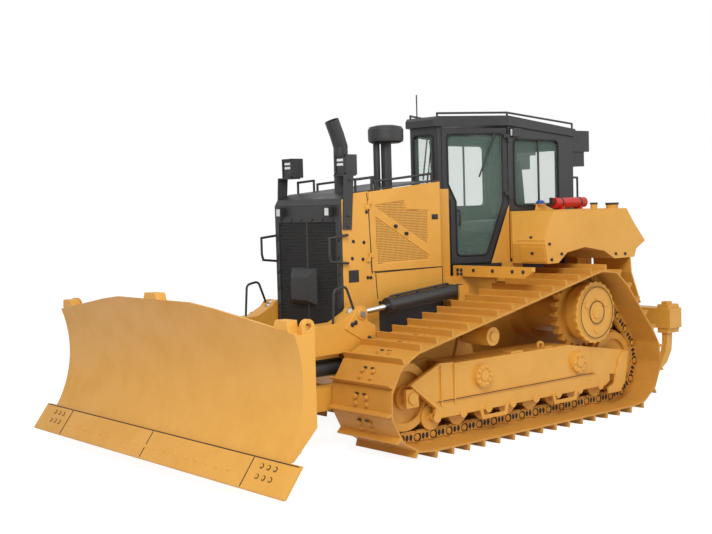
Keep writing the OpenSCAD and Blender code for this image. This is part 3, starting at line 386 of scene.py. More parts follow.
def grown(name, mesh, tree, values):
    """Run a tree, with values for its inputs, on a mesh and keep what it makes."""
    piece = new_piece(name, mesh)
    change = piece.modifiers.new("grow", "NODES")
    change.node_group = bpy.data.node_groups[tree]
    for item in change.node_group.interface.items_tree:
        if item.in_out == "INPUT" and item.name in values:
            change[item.identifier] = values[item.name]
    keep(piece, change)
    return piece


def settle(piece, body):
    """Let a piece move with its body."""
    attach(piece, body)
    return piece


def spot_mesh(name, spots, label):
    """A vertex at each spot's place, with the spot's own vector kept under a label."""
    mesh = bpy.data.meshes.new(name + "_spots")
    mesh.from_pydata([place for place, vector in spots], [], [])
    kept = mesh.attributes.new(label, "FLOAT_VECTOR", "POINT")
    for value, (place, vector) in zip(kept.data, spots):
        value.vector = vector
    return mesh


def bolts(name, spots, body, finish, radius, height=0.012, washer=1.45, sides=6):
    """Bolt heads at spots, each a place in the frame and the way it points."""
    piece = grown(name, spot_mesh(name, spots, "aim"), "bolt_heads", {
        "Radius": radius, "Height": height, "Washer": washer, "Sides": sides, "Finish": material(finish)})
    return settle(piece, body)


def copies(name, spots, shape, body, finish):
    """Copies of a shape about the frame's zero, at spots of a place and Euler angles."""
    pattern = bpy.data.objects.new(name + "_pattern", shape)
    piece = grown(name, spot_mesh(name, spots, "turn"), "set_copies", {
        "Shape": pattern, "Finish": material(finish)})
    bpy.data.objects.remove(pattern)
    return settle(piece, body)


def pipes(name, routes, body, finish, radius, bend=0.04):
    """Bent round bars along routes of points in the drawing's millimetres."""
    points, edges = [], []
    for route in routes:
        edges += [(len(points) + i, len(points) + i + 1) for i in range(len(route) - 1)]
        points += [at(*place) for place in route]
    mesh = bpy.data.meshes.new(name + "_route")
    mesh.from_pydata(points, edges, [])
    piece = grown(name, mesh, "bent_pipes", {"Radius": radius, "Bend": bend, "Finish": material(finish)})
    return settle(piece, body)


def far_side(places):
    """The mirror image of a route on the machine's far side."""
    return [(x, -y, z) for x, y, z in places]


def both_sides(places):
    """The given spots or routes and their mirror images on the far side."""
    far = []
    for item in places:
        if isinstance(item[1], Vector):
            place, way = item
            far.append((Vector((place.x, -place.y, place.z)), Vector((way.x, -way.y, way.z))))
        else:
            far.append(far_side(item))
    return list(places) + far


def swept_mesh(name, shapes):
    """A bare mesh of closed outlines swept along vectors, all in metres."""
    work = bmesh.new()
    for outline, sweep in shapes:
        face = work.faces.new([work.verts.new(place) for place in outline])
        moved = bmesh.ops.extrude_face_region(work, geom=[face])["geom"]
        bmesh.ops.translate(work, vec=sweep, verts=[v for v in moved if isinstance(v, bmesh.types.BMVert)])
    bmesh.ops.recalc_face_normals(work, faces=work.faces)
    mesh = bpy.data.meshes.new(name)
    work.to_mesh(mesh)
    work.free()
    return mesh


def solid(name, shapes, body, finish, bevel=0.004):
    """One piece of outlines in the drawing's millimetres, each swept by a vector, with softened edges."""
    mesh = swept_mesh(name, [([at(*place) for place in outline], Vector(sweep) / 1000)
                             for outline, sweep in shapes])
    mesh.materials.append(material(finish))
    piece = new_piece(name, mesh)
    if bevel:
        soft = piece.modifiers.new("softened edges", "BEVEL")
        soft.width = bevel
        soft.segments = 2
        soft.limit_method = "ANGLE"
        keep(piece, soft)
    return settle(piece, body)


def box(x0, x1, y0, y1, z0, z1):
    """A box for solid(), from its two corners."""
    return [(x0, y0, z0), (x1, y0, z0), (x1, y1, z0), (x0, y1, z0)], (0, 0, z1 - z0)


def side_plate(points, y0, y1):
    """A plate for solid(), drawn in the side view."""
    return [(x, y0, z) for x, z in points], (0, y1 - y0, 0)


def disc(centre, radius, axis, length, sides=32):
    """A round bar for solid(), from its first face's centre along axis x, y or z."""
    a, b = {"x": (1, 2), "y": (2, 0), "z": (0, 1)}[axis]
    outline = []
    for turn in [2 * math.pi * i / sides for i in range(sides)]:
        place = list(centre)
        place[a] += radius * math.cos(turn)
        place[b] += radius * math.sin(turn)
        outline.append(tuple(place))
    sweep = [0, 0, 0]
    sweep["xyz".index(axis)] = length
    return outline, tuple(sweep)


def mirrored(shapes):
    """The given shapes and their mirror images on the far side."""
    return list(shapes) + [(far_side(outline), far_side([sweep])[0]) for outline, sweep in shapes]


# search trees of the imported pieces, made when first asked for, and how far out a line starts, in metres
SEARCH = {}
START_OUT = 2.0


def seated(node, place, way):
    """Where a line against way through a drawing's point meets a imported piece, and how the face points."""
    if node not in SEARCH:
        SEARCH[node] = BVHTree.FromPolygons([v.co for v in NODES[node].data.vertices],
                                            [p.vertices[:] for p in NODES[node].data.polygons])
    way = Vector(way).normalized()
    hit, normal, index, distance = SEARCH[node].ray_cast(at(*place) + way * START_OUT, -way)
    if hit is None:
        return []
    return [(hit, normal if normal.dot(way) > 0 else -normal)]


def seats(node, places, way):
    """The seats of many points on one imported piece, seen the same way."""
    return [seat for place in places for seat in seated(node, place, way)]


def ring(centre, y, radius, count):
    """Points evenly round a side view's centre."""
    turns = [2 * math.pi * i / count for i in range(count)]
    return [(centre[0] + radius * math.cos(t), y, centre[1] + radius * math.sin(t)) for t in turns]


# track loop, in the side view's millimetres, as the source lays it out
TRACK_Y = 1143
SHOE_PITCH = 203
SHOE_BACK = 78
GROUSER = 60
# the idlers' tread, and from there to the chain's pins with the wheel's clearance
IDLER_RADIUS, RAIL_DEPTH = 304, 58.3
IDLER_PITCH = math.hypot(IDLER_RADIUS + RAIL_DEPTH, SHOE_PITCH / 2)
IDLER_Z = GROUSER + SHOE_BACK + IDLER_PITCH
REAR_X = -3030
ROLLER_Z = 301
SPROCKET, SPROCKET_PITCH = (-2550, 1076), 367
WHEELS = [(REAR_X, IDLER_Z, IDLER_PITCH), (0, IDLER_Z, IDLER_PITCH), (*SPROCKET, SPROCKET_PITCH)]
# how many pitches along the loop the first pin lies, and how far out the pins and links reach
FIRST_PIN = 0.3
PIN_END, LINK_FACE = 104, 95


def track_pins():
    """Chain pins along the loop round both idlers and the sprocket."""
    runs, angles = [], []
    for i in range(3):
        x0, z0, r0 = WHEELS[i]
        x1, z1, r1 = WHEELS[(i + 1) % 3]
        span = math.hypot(x1 - x0, z1 - z0)
        angles.append(math.atan2(z1 - z0, x1 - x0) - math.acos((r0 - r1) / span))
        runs.append(math.sqrt(span ** 2 - (r0 - r1) ** 2))
    stretches = []
    for i in range(3):
        swept = (angles[(i + 1) % 3] - angles[i]) % (2 * math.pi)
        stretches += [("run", i, runs[i]), ("arc", i, swept * WHEELS[(i + 1) % 3][2])]
    total = sum(length for kind, i, length in stretches)
    count = round(total / SHOE_PITCH)

    def on_path(s):
        """The point a length s along the loop."""
        for kind, i, length in stretches:
            if s < length:
                break
            s -= length
        if kind == "run":
            x, z, r = WHEELS[i]
            a = angles[i]
            return Vector((x + r * math.cos(a) - s * math.sin(a), z + r * math.sin(a) + s * math.cos(a)))
        x, z, r = WHEELS[(i + 1) % 3]
        a = angles[i] + s / r
        return Vector((x + r * math.cos(a), z + r * math.sin(a)))

    return [on_path((i + FIRST_PIN) * total / count % total) for i in range(count)]


def arc(x, z, wide, high, first, last):
    """Points round an oval given in millimetres, every 30 degrees between two turns, in metres."""
    turns = [math.radians(a) for a in range(first, last + 1, 30)]
    return [(0.001 * (x + wide * math.cos(t)), 0, 0.001 * (z + high * math.sin(t))) for t in turns]


def link_outline():
    """Side of one chain link, from its own pin to the next: two eyes and a waist."""
    waist = [(0.001 * x, 0, 0.001 * z) for x, z in ((60, -34), (140, -34))]
    back = [(0.001 * x, 0, 0.001 * z) for x, z in ((140, 44), (60, 44))]
    return arc(0, 0, 50, 50, 60, 300) + waist + arc(SHOE_PITCH, 0, 40, 40, -120, 120) + back


def on_shoe(here, along, reach, y):
    """A point on a shoe's back, reach along it from its pin, at y."""
    spot = here + along * reach + Vector((along.y, -along.x)) * SHOE_BACK
    return at(spot.x, y, spot.y)


class DOZER_OT_tracks(bpy.types.Operator):
    """Bolt heads and clearing slots of every track shoe, and the chain's pin ends, links and holes; the
    slots and holes are black plates of painted shade
    """

    bl_idname = "dozer.tracks"
    bl_label = "Track hardware"

    def execute(self, context):
        size = context.scene.dozer_hardware.shoe_bolt
        pins = track_pins()
        corners = [(-0.008, -0.022, -0.003), (0.008, -0.022, -0.003), (0.008, 0.022, -0.003),
                   (-0.008, 0.022, -0.003)]
        for side, flip in SIDES:
            heads, ends, links, slots = [], [], [], []
            for here, ahead in zip(pins, pins[1:] + pins[:1]):
                along = (ahead - here).normalized()
                outward = Vector((along.y, 0, -along.x))
                turn = Vector((0, -math.atan2(along.y, along.x), 0))
                heads += [(on_shoe(here, along, reach, flip * (TRACK_Y + y)), outward)
                          for reach in (96, 160) for y in (-72, 72)]
                slots += [(on_shoe(here, along, 190, flip * (TRACK_Y + y)), turn) for y in (-48, 48)]
                ends.append((at(here.x, flip * (TRACK_Y + PIN_END), here.y), Vector((0, flip, 0))))
                links.append((at(here.x, flip * (TRACK_Y + LINK_FACE), here.y), turn))
            bolts("shoe_bolts_" + side, heads, "tractor", "yellow track enamel", size, 0.014)
            bolts("chain_pins_" + side, ends, "tractor", "yellow track enamel", 0.024, 0.008,
                  washer=1.3, sides=14)
            plate = swept_mesh("link_plate", [(link_outline(), Vector((0, 0.009 * flip, 0)))])
            copies("chain_links_" + side, links, plate, "tractor", "yellow track enamel")
            # the shoes' slots and the links' holes are thin black plates, painted shade where the holes are
            gap = swept_mesh("shoe_slot", [(corners, Vector((0, 0, 0.004)))])
            copies("shoe_slots_" + side, slots, gap, "tractor", "black rubber")
            holes = swept_mesh("link_hole", [(arc(x, 4, 19, 29, 0, 330), Vector((0, 0.0095 * flip, 0)))
                                             for x in (78, 126)])
            copies("link_holes_" + side, links, holes, "tractor", "black rubber")
        return {"FINISHED"}


def on_frame(points, thick):
    """A plate for solid() that lies on the roller frame's outer face."""
    return side_plate(points, FRAME_Y, FRAME_Y + thick)


# side views of a track guide about its middle, the rear guard and a lifting hook
GUIDE = ((-200, 300), (-170, 205), (170, 205), (200, 300), (160, 300), (145, 240), (-145, 240), (-160, 300))
REAR_GUARD = ((-3150, 612), (-3060, 612), (-2936, 402), (-2900, 290), (-2797, 262), (-2805, 200),
              (-3010, 200), (-3090, 300), (-3120, 430))
HOOK = ((-1800, 772), (-1800, 815), (-1825, 838), (-1870, 838), (-1895, 815), (-1895, 772),
        (-1872, 772), (-1872, 806), (-1860, 816), (-1835, 816), (-1823, 806), (-1823, 772))
BOSS, PIVOT = (-900, 615), (-2320, 585)


class DOZER_OT_running_gear(bpy.types.Operator):
    """Bolts, caps, guards, hooks, seams and painted shadow lines of the roller frames and final drives, and
    the step's bolts
    """

    bl_idname = "dozer.running_gear"
    bl_label = "Running gear"

    def execute(self, context):
        size = context.scene.dozer_hardware.bolt
        # lines start well outside, so this y need only be near the faces they meet
        near = 1300
        spots = seats("final_drives", [(SPROCKET[0], near, SPROCKET[1] + 150)], SIDEWAYS)
        spots += seats("track_frames", ring(BOSS, near, 86, 10) + ring(PIVOT, near, 80, 6), SIDEWAYS)
        bolts("frame_bolts", both_sides(spots), "tractor", "yellow enamel", size)
        drive = seats("final_drives", ring(SPROCKET, near, 200, 8), SIDEWAYS)
        face = max(hit.y for hit, way in drive) * 1000
        # the two black rings on each final drive's face are painted shadow lines round its cover and its
        # rim; the long line is a dark seam along the frame's ledge
        lines = [ring(SPROCKET, face, radius, 48) for radius in (118, 262)]
        lines = [line + line[:1] for line in lines] + [[(-300, 1346, 446), (-2560, 1346, 446)]]
        pipes("frame_seams", both_sides(lines), "tractor", "black rubber", 0.0035, bend=0.0)
        caps = [disc((x, FRAME_Y, ROLLER_Z), 46, "y", 8, 24) for x in range(-300, -2800, -342)]
        caps += [disc((x, FRAME_Y, IDLER_Z), 52, "y", 14, 28) for x in (0, REAR_X)]
        caps += [disc((x, 1369, z), 48, "y", 10, 28) for x, z in (BOSS, PIVOT)]
        caps += [on_frame([(-2600, 452), (-2600, 438), (-290, 438), (-290, 452)], 12)]
        caps += [on_frame([(middle + x, z) for x, z in GUIDE], 18) for middle in (-1050, -2100)]
        caps += [on_frame([(x, 402), (x + 15, 402), (x + 15, 770), (x, 770)], 16) for x in (-362, -536)]
        caps += [on_frame([(30, 630), (16, 646), (-284, 414), (-270, 396)], 19),
                 box(-1500, -1330, 1190, 1320, 772, 792), box(-1960, -1840, 1200, 1310, 772, 786)]
        caps += [on_frame([(x - 3, 450), (x + 3, 450), (x + 3, 690), (x - 3, 690)], 2)
                 for x in (-2181, -2546)]
        caps += [on_frame(REAR_GUARD, 20), side_plate(HOOK, 1230, 1252)]
        solid("frame_fittings", mirrored(caps), "tractor", "yellow enamel")
        beam = [(-1540, y, 1545) for y in (420, 470, 640, 900, 1160, 1300)]
        beam += [(-1540, y, 1505) for y in (420, 470)]
        spots = both_sides(seats("step_beams", beam, FORWARD))
        bolts("step_bolts", spots, "tractor", "black enamel", 0.013)
        return {"FINISHED"}


def on_edge(y, z):
    """A point on the cutting edge's sloping front face."""
    return (1840 + (330 - z) * 156 / 208, y, z)


class DOZER_OT_blade(bpy.types.Operator):
    """Bolts and seams of the cutting edge and end bits, the end bolts' wells as black discs of painted
    shade, and the pins on the blade's top
    """

    bl_idname = "dozer.blade"
    bl_label = "Blade hardware"

    def execute(self, context):
        row = seats("cutting_edge", [(2100, y, 210) for y in range(-1420, 1421, 158)], FORWARD)
        bolts("edge_bolts", row, "blade_body", "yellow enamel", 0.015, 0.006, washer=1.35, sides=12)
        ends = [(2100, s * y, z) for s in (-1, 1) for y in (1640, 1725, 1810) for z in (283, 213)]
        wells = seats("cutting_edge", ends, FORWARD)
        # each end bolt sits on a flat black disc, painted shade in its well
        bolts("end_wells", wells, "blade_body", "black rubber", 0.022, 0.003, washer=1.0, sides=18)
        bolts("end_bolts", wells, "blade_body", "yellow enamel", 0.015, 0.007, washer=1.0, sides=12)
        seams = [[on_edge(s * 1500, z) for z in (126, 326)] for s in (-1, 0, 1)]
        seams += [[on_edge(-2050, 332), on_edge(2050, 332)]]
        pipes("edge_seams", seams, "blade_body", "black rubber", 0.0045, bend=0.0)
        pins = seats("blade", [(1420, s * 635, 1000) for s in (-1, 1)], UPWARD)
        bolts("blade_pins", pins, "blade_body", "yellow enamel", 0.03, 0.02, washer=1.5, sides=18)
        return {"FINISHED"}


# the front face's x of each near lamp, and its two sides and its foot and top; the first has two lenses
LAMPS = ((-20, 330, 490, 2525, 2715), (134, 335, 415, 2140, 2230), (-2240, 560, 605, 2915, 3005))
TALL_LAMP = 150


class DOZER_OT_lamps(bpy.types.Operator):
    """Lenses and rims of the work lamps, and the bolts of the front lamps' brackets"""

    bl_idname = "dozer.lamps"
    bl_label = "Lamps"

    def execute(self, context):
        glass, rims = [], []
        for x, y0, y1, z0, z1 in LAMPS:
            edge = 0.1 * (z1 - z0)
            if z1 - z0 > TALL_LAMP:
                glass += [box(x, x + 5, y0 + 30, y1 - 40, z, z + 24) for z in (z0 + 86, z0 + 127)]
            else:
                glass.append(box(x, x + 5, y0 + edge, y1 - edge, z0 + edge, z1 - edge))
            for a, b, c, d in ((y0, y1, z0, z0 + edge), (y0, y1, z1 - edge, z1),
                               (y0, y0 + edge, z0, z1), (y1 - edge, y1, z0, z1)):
                rims.append(box(x, x + 8, a, b, c, d))
        solid("lamp_glass", mirrored(glass), "tractor", "clear lamp plastic", bevel=0.002)
        solid("lamp_rims", mirrored(rims), "tractor", "black moulded plastic", bevel=0.002)
        spots = seats("front_lamps", [(-18, 520, 2146), (-8, 520, 2050), (-40, 520, 2480)], SIDEWAYS)
        bolts("lamp_bolts", both_sides(spots), "tractor", "black enamel", 0.014)
        return {"FINISHED"}


class DOZER_OT_grille(bpy.types.Operator):
    """Woven wire over the radiator, its middle bar and the guard's bolts"""

    bl_idname = "dozer.grille"
    bl_label = "Grille"

    def execute(self, context):
        routes = [[(75, y, 1093), (75, y, 2083)] for y in range(-434, 435, 14)]
        routes += [[(77, -437, z), (77, 437, z)] for z in range(1100, 2083, 14)]
        pipes("grille_wire", routes, "tractor", "black enamel", 0.0024, bend=0.0)
        solid("grille_bar", [box(72, 84, -13, 13, 1092, 2084)], "tractor", "black enamel", bevel=0.003)
        border = [(90, s * 468, z) for s in (-1, 1) for z in range(1120, 2080, 160)]
        border += [(90, y, z) for z in (2112, 1045) for y in range(-400, 401, 160)]
        bolts("guard_bolts", seats("radiator_guard", border, FORWARD), "tractor", "black enamel", 0.013)
        return {"FINISHED"}


# pierced fields of the engine door, in the side view's millimetres, and the steps and size of their holes
MESH_FIELDS = (((-372, 2203), (-356, 2236), (-733, 2275), (-767, 2187), (-1066, 2174), (-1054, 1820)),
               ((-361, 2125), (-1070, 1723), (-1070, 1683), (-371, 1666)))
HOLE_STEP, HOLE_ROOM = 16, 8
HOLE_RADIUS = 0.0046


def in_field(x, z, field):
    """Whether a point lies inside a closed outline, by counting the sides to its right."""
    crossed = 0
    for (x0, z0), (x1, z1) in zip(field, field[1:] + field[:1]):
        if (z0 > z) != (z1 > z) and x < x0 + (z - z0) * (x1 - x0) / (z1 - z0):
            crossed += 1
    return crossed % 2 == 1


def in_mesh(x, z):
    """Whether a hole and the room round it fit inside one of the door's pierced fields."""
    corners = [(x + i, z + j) for i in (-HOLE_ROOM, HOLE_ROOM) for j in (-HOLE_ROOM, HOLE_ROOM)]
    return any(all(in_field(*corner, field) for corner in corners) for field in MESH_FIELDS)


class DOZER_OT_hood(bpy.types.Operator):
    """Latches, studs and pierced fields of the engine doors, whose holes are black dots of painted shade,
    and the hood's vents, bolts and seals
    """

    bl_idname = "dozer.hood"
    bl_label = "Hood trim"

    def execute(self, context):
        turns = [i * math.pi / 3 for i in range(6)]
        dot = [(HOLE_RADIUS * math.cos(t), 0, HOLE_RADIUS * math.sin(t)) for t in turns]
        grid = [(x, z) for x in range(-1064, -356, HOLE_STEP) for z in range(1676, 2274, HOLE_STEP)]
        for side, flip in SIDES:
            body = "engine_door_" + side[0]
            face = flip * HOOD_Y
            studs = seats("engine_door_" + side, [(-612, face, 2025), (-753, face, 1949)], (0, flip, 0))
            bolts("door_studs_" + side, studs, body, "black rubber", 0.017, 0.022, washer=1.0, sides=18)
            # every hole of the pierced fields is a thin black dot, painted shade where the hole is
            holes = [(at(x, flip * (HOOD_Y - 7), z), Vector((0, 0, 0))) for x, z in grid if in_mesh(x, z)]
            pierced = swept_mesh("mesh_hole", [(dot, Vector((0, 0.0008 * flip, 0)))])
            copies("door_mesh_" + side, holes, pierced, body, "black rubber")
            latch = [box(-1195, -1110, face, face + 8 * flip, 2078, 2128),
                     box(-1170, -1130, face + 8 * flip, face + 16 * flip, 2090, 2116)]
            solid("door_latch_" + side, latch, body, "black moulded plastic")
        vent = [box(-131, -7, HOOD_Y, HOOD_Y + 4, 1515, 1629)]
        vent += [box(-125, -13, HOOD_Y + 4, HOOD_Y + 9, z, z + 9) for z in range(1524, 1615, 17)]
        solid("hood_vents", mirrored(vent), "tractor", "black moulded plastic", bevel=0.002)
        rim = [(x, HOOD_Y, z) for x, z in ((-247, 2171), (-205, 1885), (-187, 1726), (-74, 1899),
                                           (-56, 1740), (-243, 1549), (-282, 1547))]
        bolts("hood_bolts", both_sides(seats("hood_panels", rim, SIDEWAYS)), "tractor", "black rubber",
              0.013, 0.01, washer=1.3, sides=12)
        seal = [[(x, HOOD_Y - 1, z) for x, z in line] for line in (
            ((-254, 2352), (-272, 2250), (-302, 1580)), ((-330, 1590), (-1244, 1598)),
            ((-345, 1580), (-362, 1340)), ((-1244, 1598), (-1244, 1345)))]
        pipes("hood_seals", both_sides(seal), "tractor", "black rubber", 0.005, bend=0.0)
        return {"FINISHED"}


# plan of the cab's door, in millimetres
POST_X, CAB_Y, SCREEN_X, SCREEN_Y = -2200, 560, -1500, 190
DOOR_TURN = math.atan2(SCREEN_Y - CAB_Y, SCREEN_X - POST_X)
DOOR_LEN = math.hypot(SCREEN_X - POST_X, SCREEN_Y - CAB_Y)


def on_door(along, z, out):
    """A point on the near door's outer face, out in front of it."""
    return (POST_X + along * math.cos(DOOR_TURN) - out * math.sin(DOOR_TURN),
            CAB_Y + along * math.sin(DOOR_TURN) + out * math.cos(DOOR_TURN), z)


def rounded(a0, a1, b0, b1, radius, steps=6):
    """A closed rounded rectangle in two coordinates."""
    outline = []
    for a, b, start in ((a1 - radius, b1 - radius, 0), (a0 + radius, b1 - radius, 90),
                        (a0 + radius, b0 + radius, 180), (a1 - radius, b0 + radius, 270)):
        for i in range(steps + 1):
            turn = math.radians(start + 90 * i / steps)
            outline.append((a + radius * math.cos(turn), b + radius * math.sin(turn)))
    return outline + outline[:1]


class DOZER_OT_cab(bpy.types.Operator):
    """Window seals and bars, wipers, door grips and the corner plates of the cab"""

    bl_idname = "dozer.cab"
    bl_label = "Cab trim"

    def execute(self, context):
        side = [(a, CAB_Y + 3, b) for a, b in rounded(-3020, -2290, 2190, 2890, 60)]
        screen = [(SCREEN_X + 3, a, b) for a, b in rounded(-SCREEN_Y + 45, SCREEN_Y - 45, 2180, 2950, 40)]
        back = [(-3283, a, b) for a, b in rounded(-400, 400, 2200, 2800, 50)]
        seals = [side, far_side(side), screen, back]
        pipes("window_seals", seals, "tractor", "black rubber", 0.009, bend=0.0)
        bar = [box(-2701, -2679, 548, 563, 2192, 2888)]
        solid("window_bars", mirrored(bar), "tractor", "black enamel", bevel=0.003)
        wiper = [[(SCREEN_X + 4, 20, 2140), (SCREEN_X + 22, 20, 2140), (SCREEN_X + 22, 90, 2560)],
                 [(SCREEN_X + 16, 60, 2380), (SCREEN_X + 16, 128, 2780)]]
        pipes("wiper", wiper, "tractor", "black moulded plastic", 0.006, bend=0.01)
        pane = [(68, 2950), (68, 2240), (262, 1680), (DOOR_LEN - 205, 1680), (DOOR_LEN - 205, 2250),
                (DOOR_LEN - 125, 2430), (DOOR_LEN - 125, 2950), (68, 2950)]
        seal = [on_door(along, z, 3) for along, z in pane]
        grip = [on_door(560, z, out) for z, out in ((2010, 1), (2010, 38), (2150, 38), (2150, 1))]
        wipe = [on_door(150, 2960, 2), on_door(150, 2960, 16), on_door(330, 2500, 16)]
        for name, body, turned in (("left", "cab_door_l", list), ("right", "cab_door_r", far_side)):
            pipes("door_seal_" + name, [turned(seal)], body, "black rubber", 0.009, bend=0.05)
            pipes("door_grip_" + name, [turned(grip), turned(wipe)], body, "black moulded plastic", 0.009,
                  bend=0.015)
        corner = [on_door(along, z, 0.3) for along, z in (
            (1, 1592), (1, 2193), (6, 2193), (207, 1600), (207, 1592))]
        out = (-2.5 * math.sin(DOOR_TURN), 2.5 * math.cos(DOOR_TURN), 0)
        solid("corner_plates", mirrored([(corner, out)]), "tractor", "yellow enamel", bevel=0.0)
        return {"FINISHED"}


def cushion(name, middle, half, tilt, channels):
    """A stuffed pad: crowned faces, rounded corners and sewn channels, closed all round."""
    work = bmesh.new()
    bmesh.ops.create_cube(work, size=2.0)
    bmesh.ops.subdivide_edges(work, edges=work.edges, cuts=15, use_grid_fill=True)
    turn = Matrix.Rotation(tilt, 3, "Y")
    for vert in work.verts:
        u, v, w = vert.co
        pull = 1 - 0.05 * (abs(u) ** 4 + abs(v) ** 4)
        crown = 1 - 0.22 * (u * u + v * v) / 2
        seam = sum(math.exp(-((v - c) / 0.05) ** 2) for c in channels)
        place = Vector((half[0] * u * pull * (1 - 0.1 * w ** 4), half[1] * v * pull * (1 - 0.1 * w ** 4),
                        half[2] * w * (crown if w > 0 else 1) * (1 - 0.1 * seam * (w > 0))))
        vert.co = turn @ (place / 1000) + at(*middle)
    bmesh.ops.recalc_face_normals(work, faces=work.faces)
    for face in work.faces:
        face.smooth = True
    mesh = bpy.data.meshes.new(name)
    work.to_mesh(mesh)
    work.free()
    mesh.materials.append(material("seat cloth"))
    piece = new_piece(name, mesh)
    soft = piece.modifiers.new("stuffing", "SUBSURF")
    soft.levels = 1
    soft.render_levels = 1
    keep(piece, soft)
    settle(piece, "tractor")
    return piece


# the bellows of the seat's stand: height of a fold, and how far every other one is drawn in
FOLD, DRAWN_IN = 44, 12


class DOZER_OT_seat(bpy.types.Operator):
    """The driver's seat: stuffed base and back on a bellows stand"""

    bl_idname = "dozer.seat"
    bl_label = "Seat"

    def execute(self, context):
        base = cushion("seat_base", (-2500, 0, 1968), (275, 255, 72), 0.0, (-0.6, 0.6))
        back = cushion("seat_back", (-2790, 0, 2380), (335, 245, 48), math.radians(96), (-0.55, 0.55))
        folds = []
        for i in range(7):
            inset, foot = DRAWN_IN * (i % 2), 1588 + FOLD * i
            folds.append(box(-2690 + inset, -2310 - inset, -190 + inset, 190 - inset, foot, foot + FOLD))
        stand = solid("seat_stand", folds, "tractor", "black rubber", bevel=0.012)
        for piece in (base, back, stand):
            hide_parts("seat")
        return {"FINISHED"}


# the fender's front leans back above its bend and forward below it: x at a height, and the slope
UPPER_FRONT = (-1946, 1800, -0.4)
LOWER_FRONT = (-1985, 1600, 0.195)


def front_lid(front, y0, y1, z0, z1, thick):
    """A lid for solid() on one of the fender's two slanted fronts."""
    x, z, slope = front
    low, high = x + (z0 - z) * slope, x + (z1 - z) * slope
    way = Vector((1, 0, -slope)).normalized() * thick
    return [(low, y0, z0), (low, y1, z0), (high, y1, z1), (high, y0, z1)], tuple(way)


class DOZER_OT_fenders(bpy.types.Operator):
    """Lids, latches, caps, bolts and the fire bottle's straps on the fenders"""

    bl_idname = "dozer.fenders"
    bl_label = "Fender trim"

    def execute(self, context):
        lids = [front_lid(UPPER_FRONT, 872, 1236, 1828, 2066, 7),
                front_lid(LOWER_FRONT, 916, 1236, 1616, 1772, 9), box(-2980, -2180, 900, 1220, 2130, 2136)]
        solid("fender_lids", mirrored(lids), "tractor", "yellow enamel", bevel=0.003)
        latch = [front_lid(LOWER_FRONT, 1058, 1092, 1696, 1720, 18),
                 front_lid(UPPER_FRONT, 1038, 1070, 1852, 1874, 16)]
        solid("fender_latches", mirrored(latch), "tractor", "black moulded plastic", bevel=0.003)
        bracket = [side_plate([(-2237, 2130), (-2262, 2200), (-2345, 2200), (-2557, 2130)], 876, 890),
                   box(-2345, -2262, 850, 950, 2192, 2200)]
        solid("cap_bracket", bracket, "tractor", "yellow enamel", bevel=0.003)
        cap = [disc((-2302, 900, 2200), 46, "z", 26, 18), disc((-2302, 900, 2226), 34, "z", 10, 18)]
        solid("filler_cap", cap, "tractor", "blue moulded plastic")
        caps = [disc((-3000, 1050, 2178), 42, "z", 20, 16), disc((-3210, 1130, 2170), 72, "z", 22, 20)]
        solid("tank_caps", mirrored(caps), "tractor", "black moulded plastic", bevel=0.005)
        straps = [disc((x, 800, 2206), 58, "x", 26, 36) for x in (-2753, -3063)]
        straps += [disc((-2640, 800, 2206), 22, "x", 40, 20), box(-2612, -2590, 780, 820, 2200, 2262)]
        solid("bottle_straps", straps, "tractor", "black moulded plastic", bevel=0.003)
        dark = [(x, 1250, z) for x, z in ((-2039, 1640), (-2197, 1690), (-3097, 1650), (-3261, 1642),
                                          (-2010, 1798))]
        bolts("fender_studs", both_sides(seats("fender_left", dark, SIDEWAYS)), "tractor", "black rubber",
              0.015, 0.012, washer=1.0, sides=16)
        hinge = [(x, 1243, 2138) for x in range(-2200, -2980, -180)]
        bolts("fender_bolts", both_sides(seats("fender_left", hinge, UPWARD)), "tractor", "yellow enamel",
              0.010, 0.007)
        return {"FINISHED"}


# the lift cylinder's two pins and the angle cylinder's turn, in the drawing's side view and plan
LIFT_REAR, LIFT_FRONT = Vector((-1340, 1362)), Vector((42, 1236))
LIFT_RUN = (LIFT_FRONT - LIFT_REAR).normalized()
LIFT_UP = Vector((-LIFT_RUN.y, LIFT_RUN.x))
ANGLE_YAW = math.atan2(30, 1370)
HEAD_RADIUS, HEAD_LENGTH = 82, 46


def on_lift(along, rise):
    """A point along the near lift cylinder, above its middle line."""
    spot = LIFT_REAR + LIFT_RUN * along + LIFT_UP * rise
    return (spot.x, LIFT_Y, spot.y)


def on_angle(along, z, flip):
    """A point over the angle cylinder of the side that flip gives."""
    return (50 + along * math.cos(ANGLE_YAW), flip * (605 + along * math.sin(ANGLE_YAW)), z)


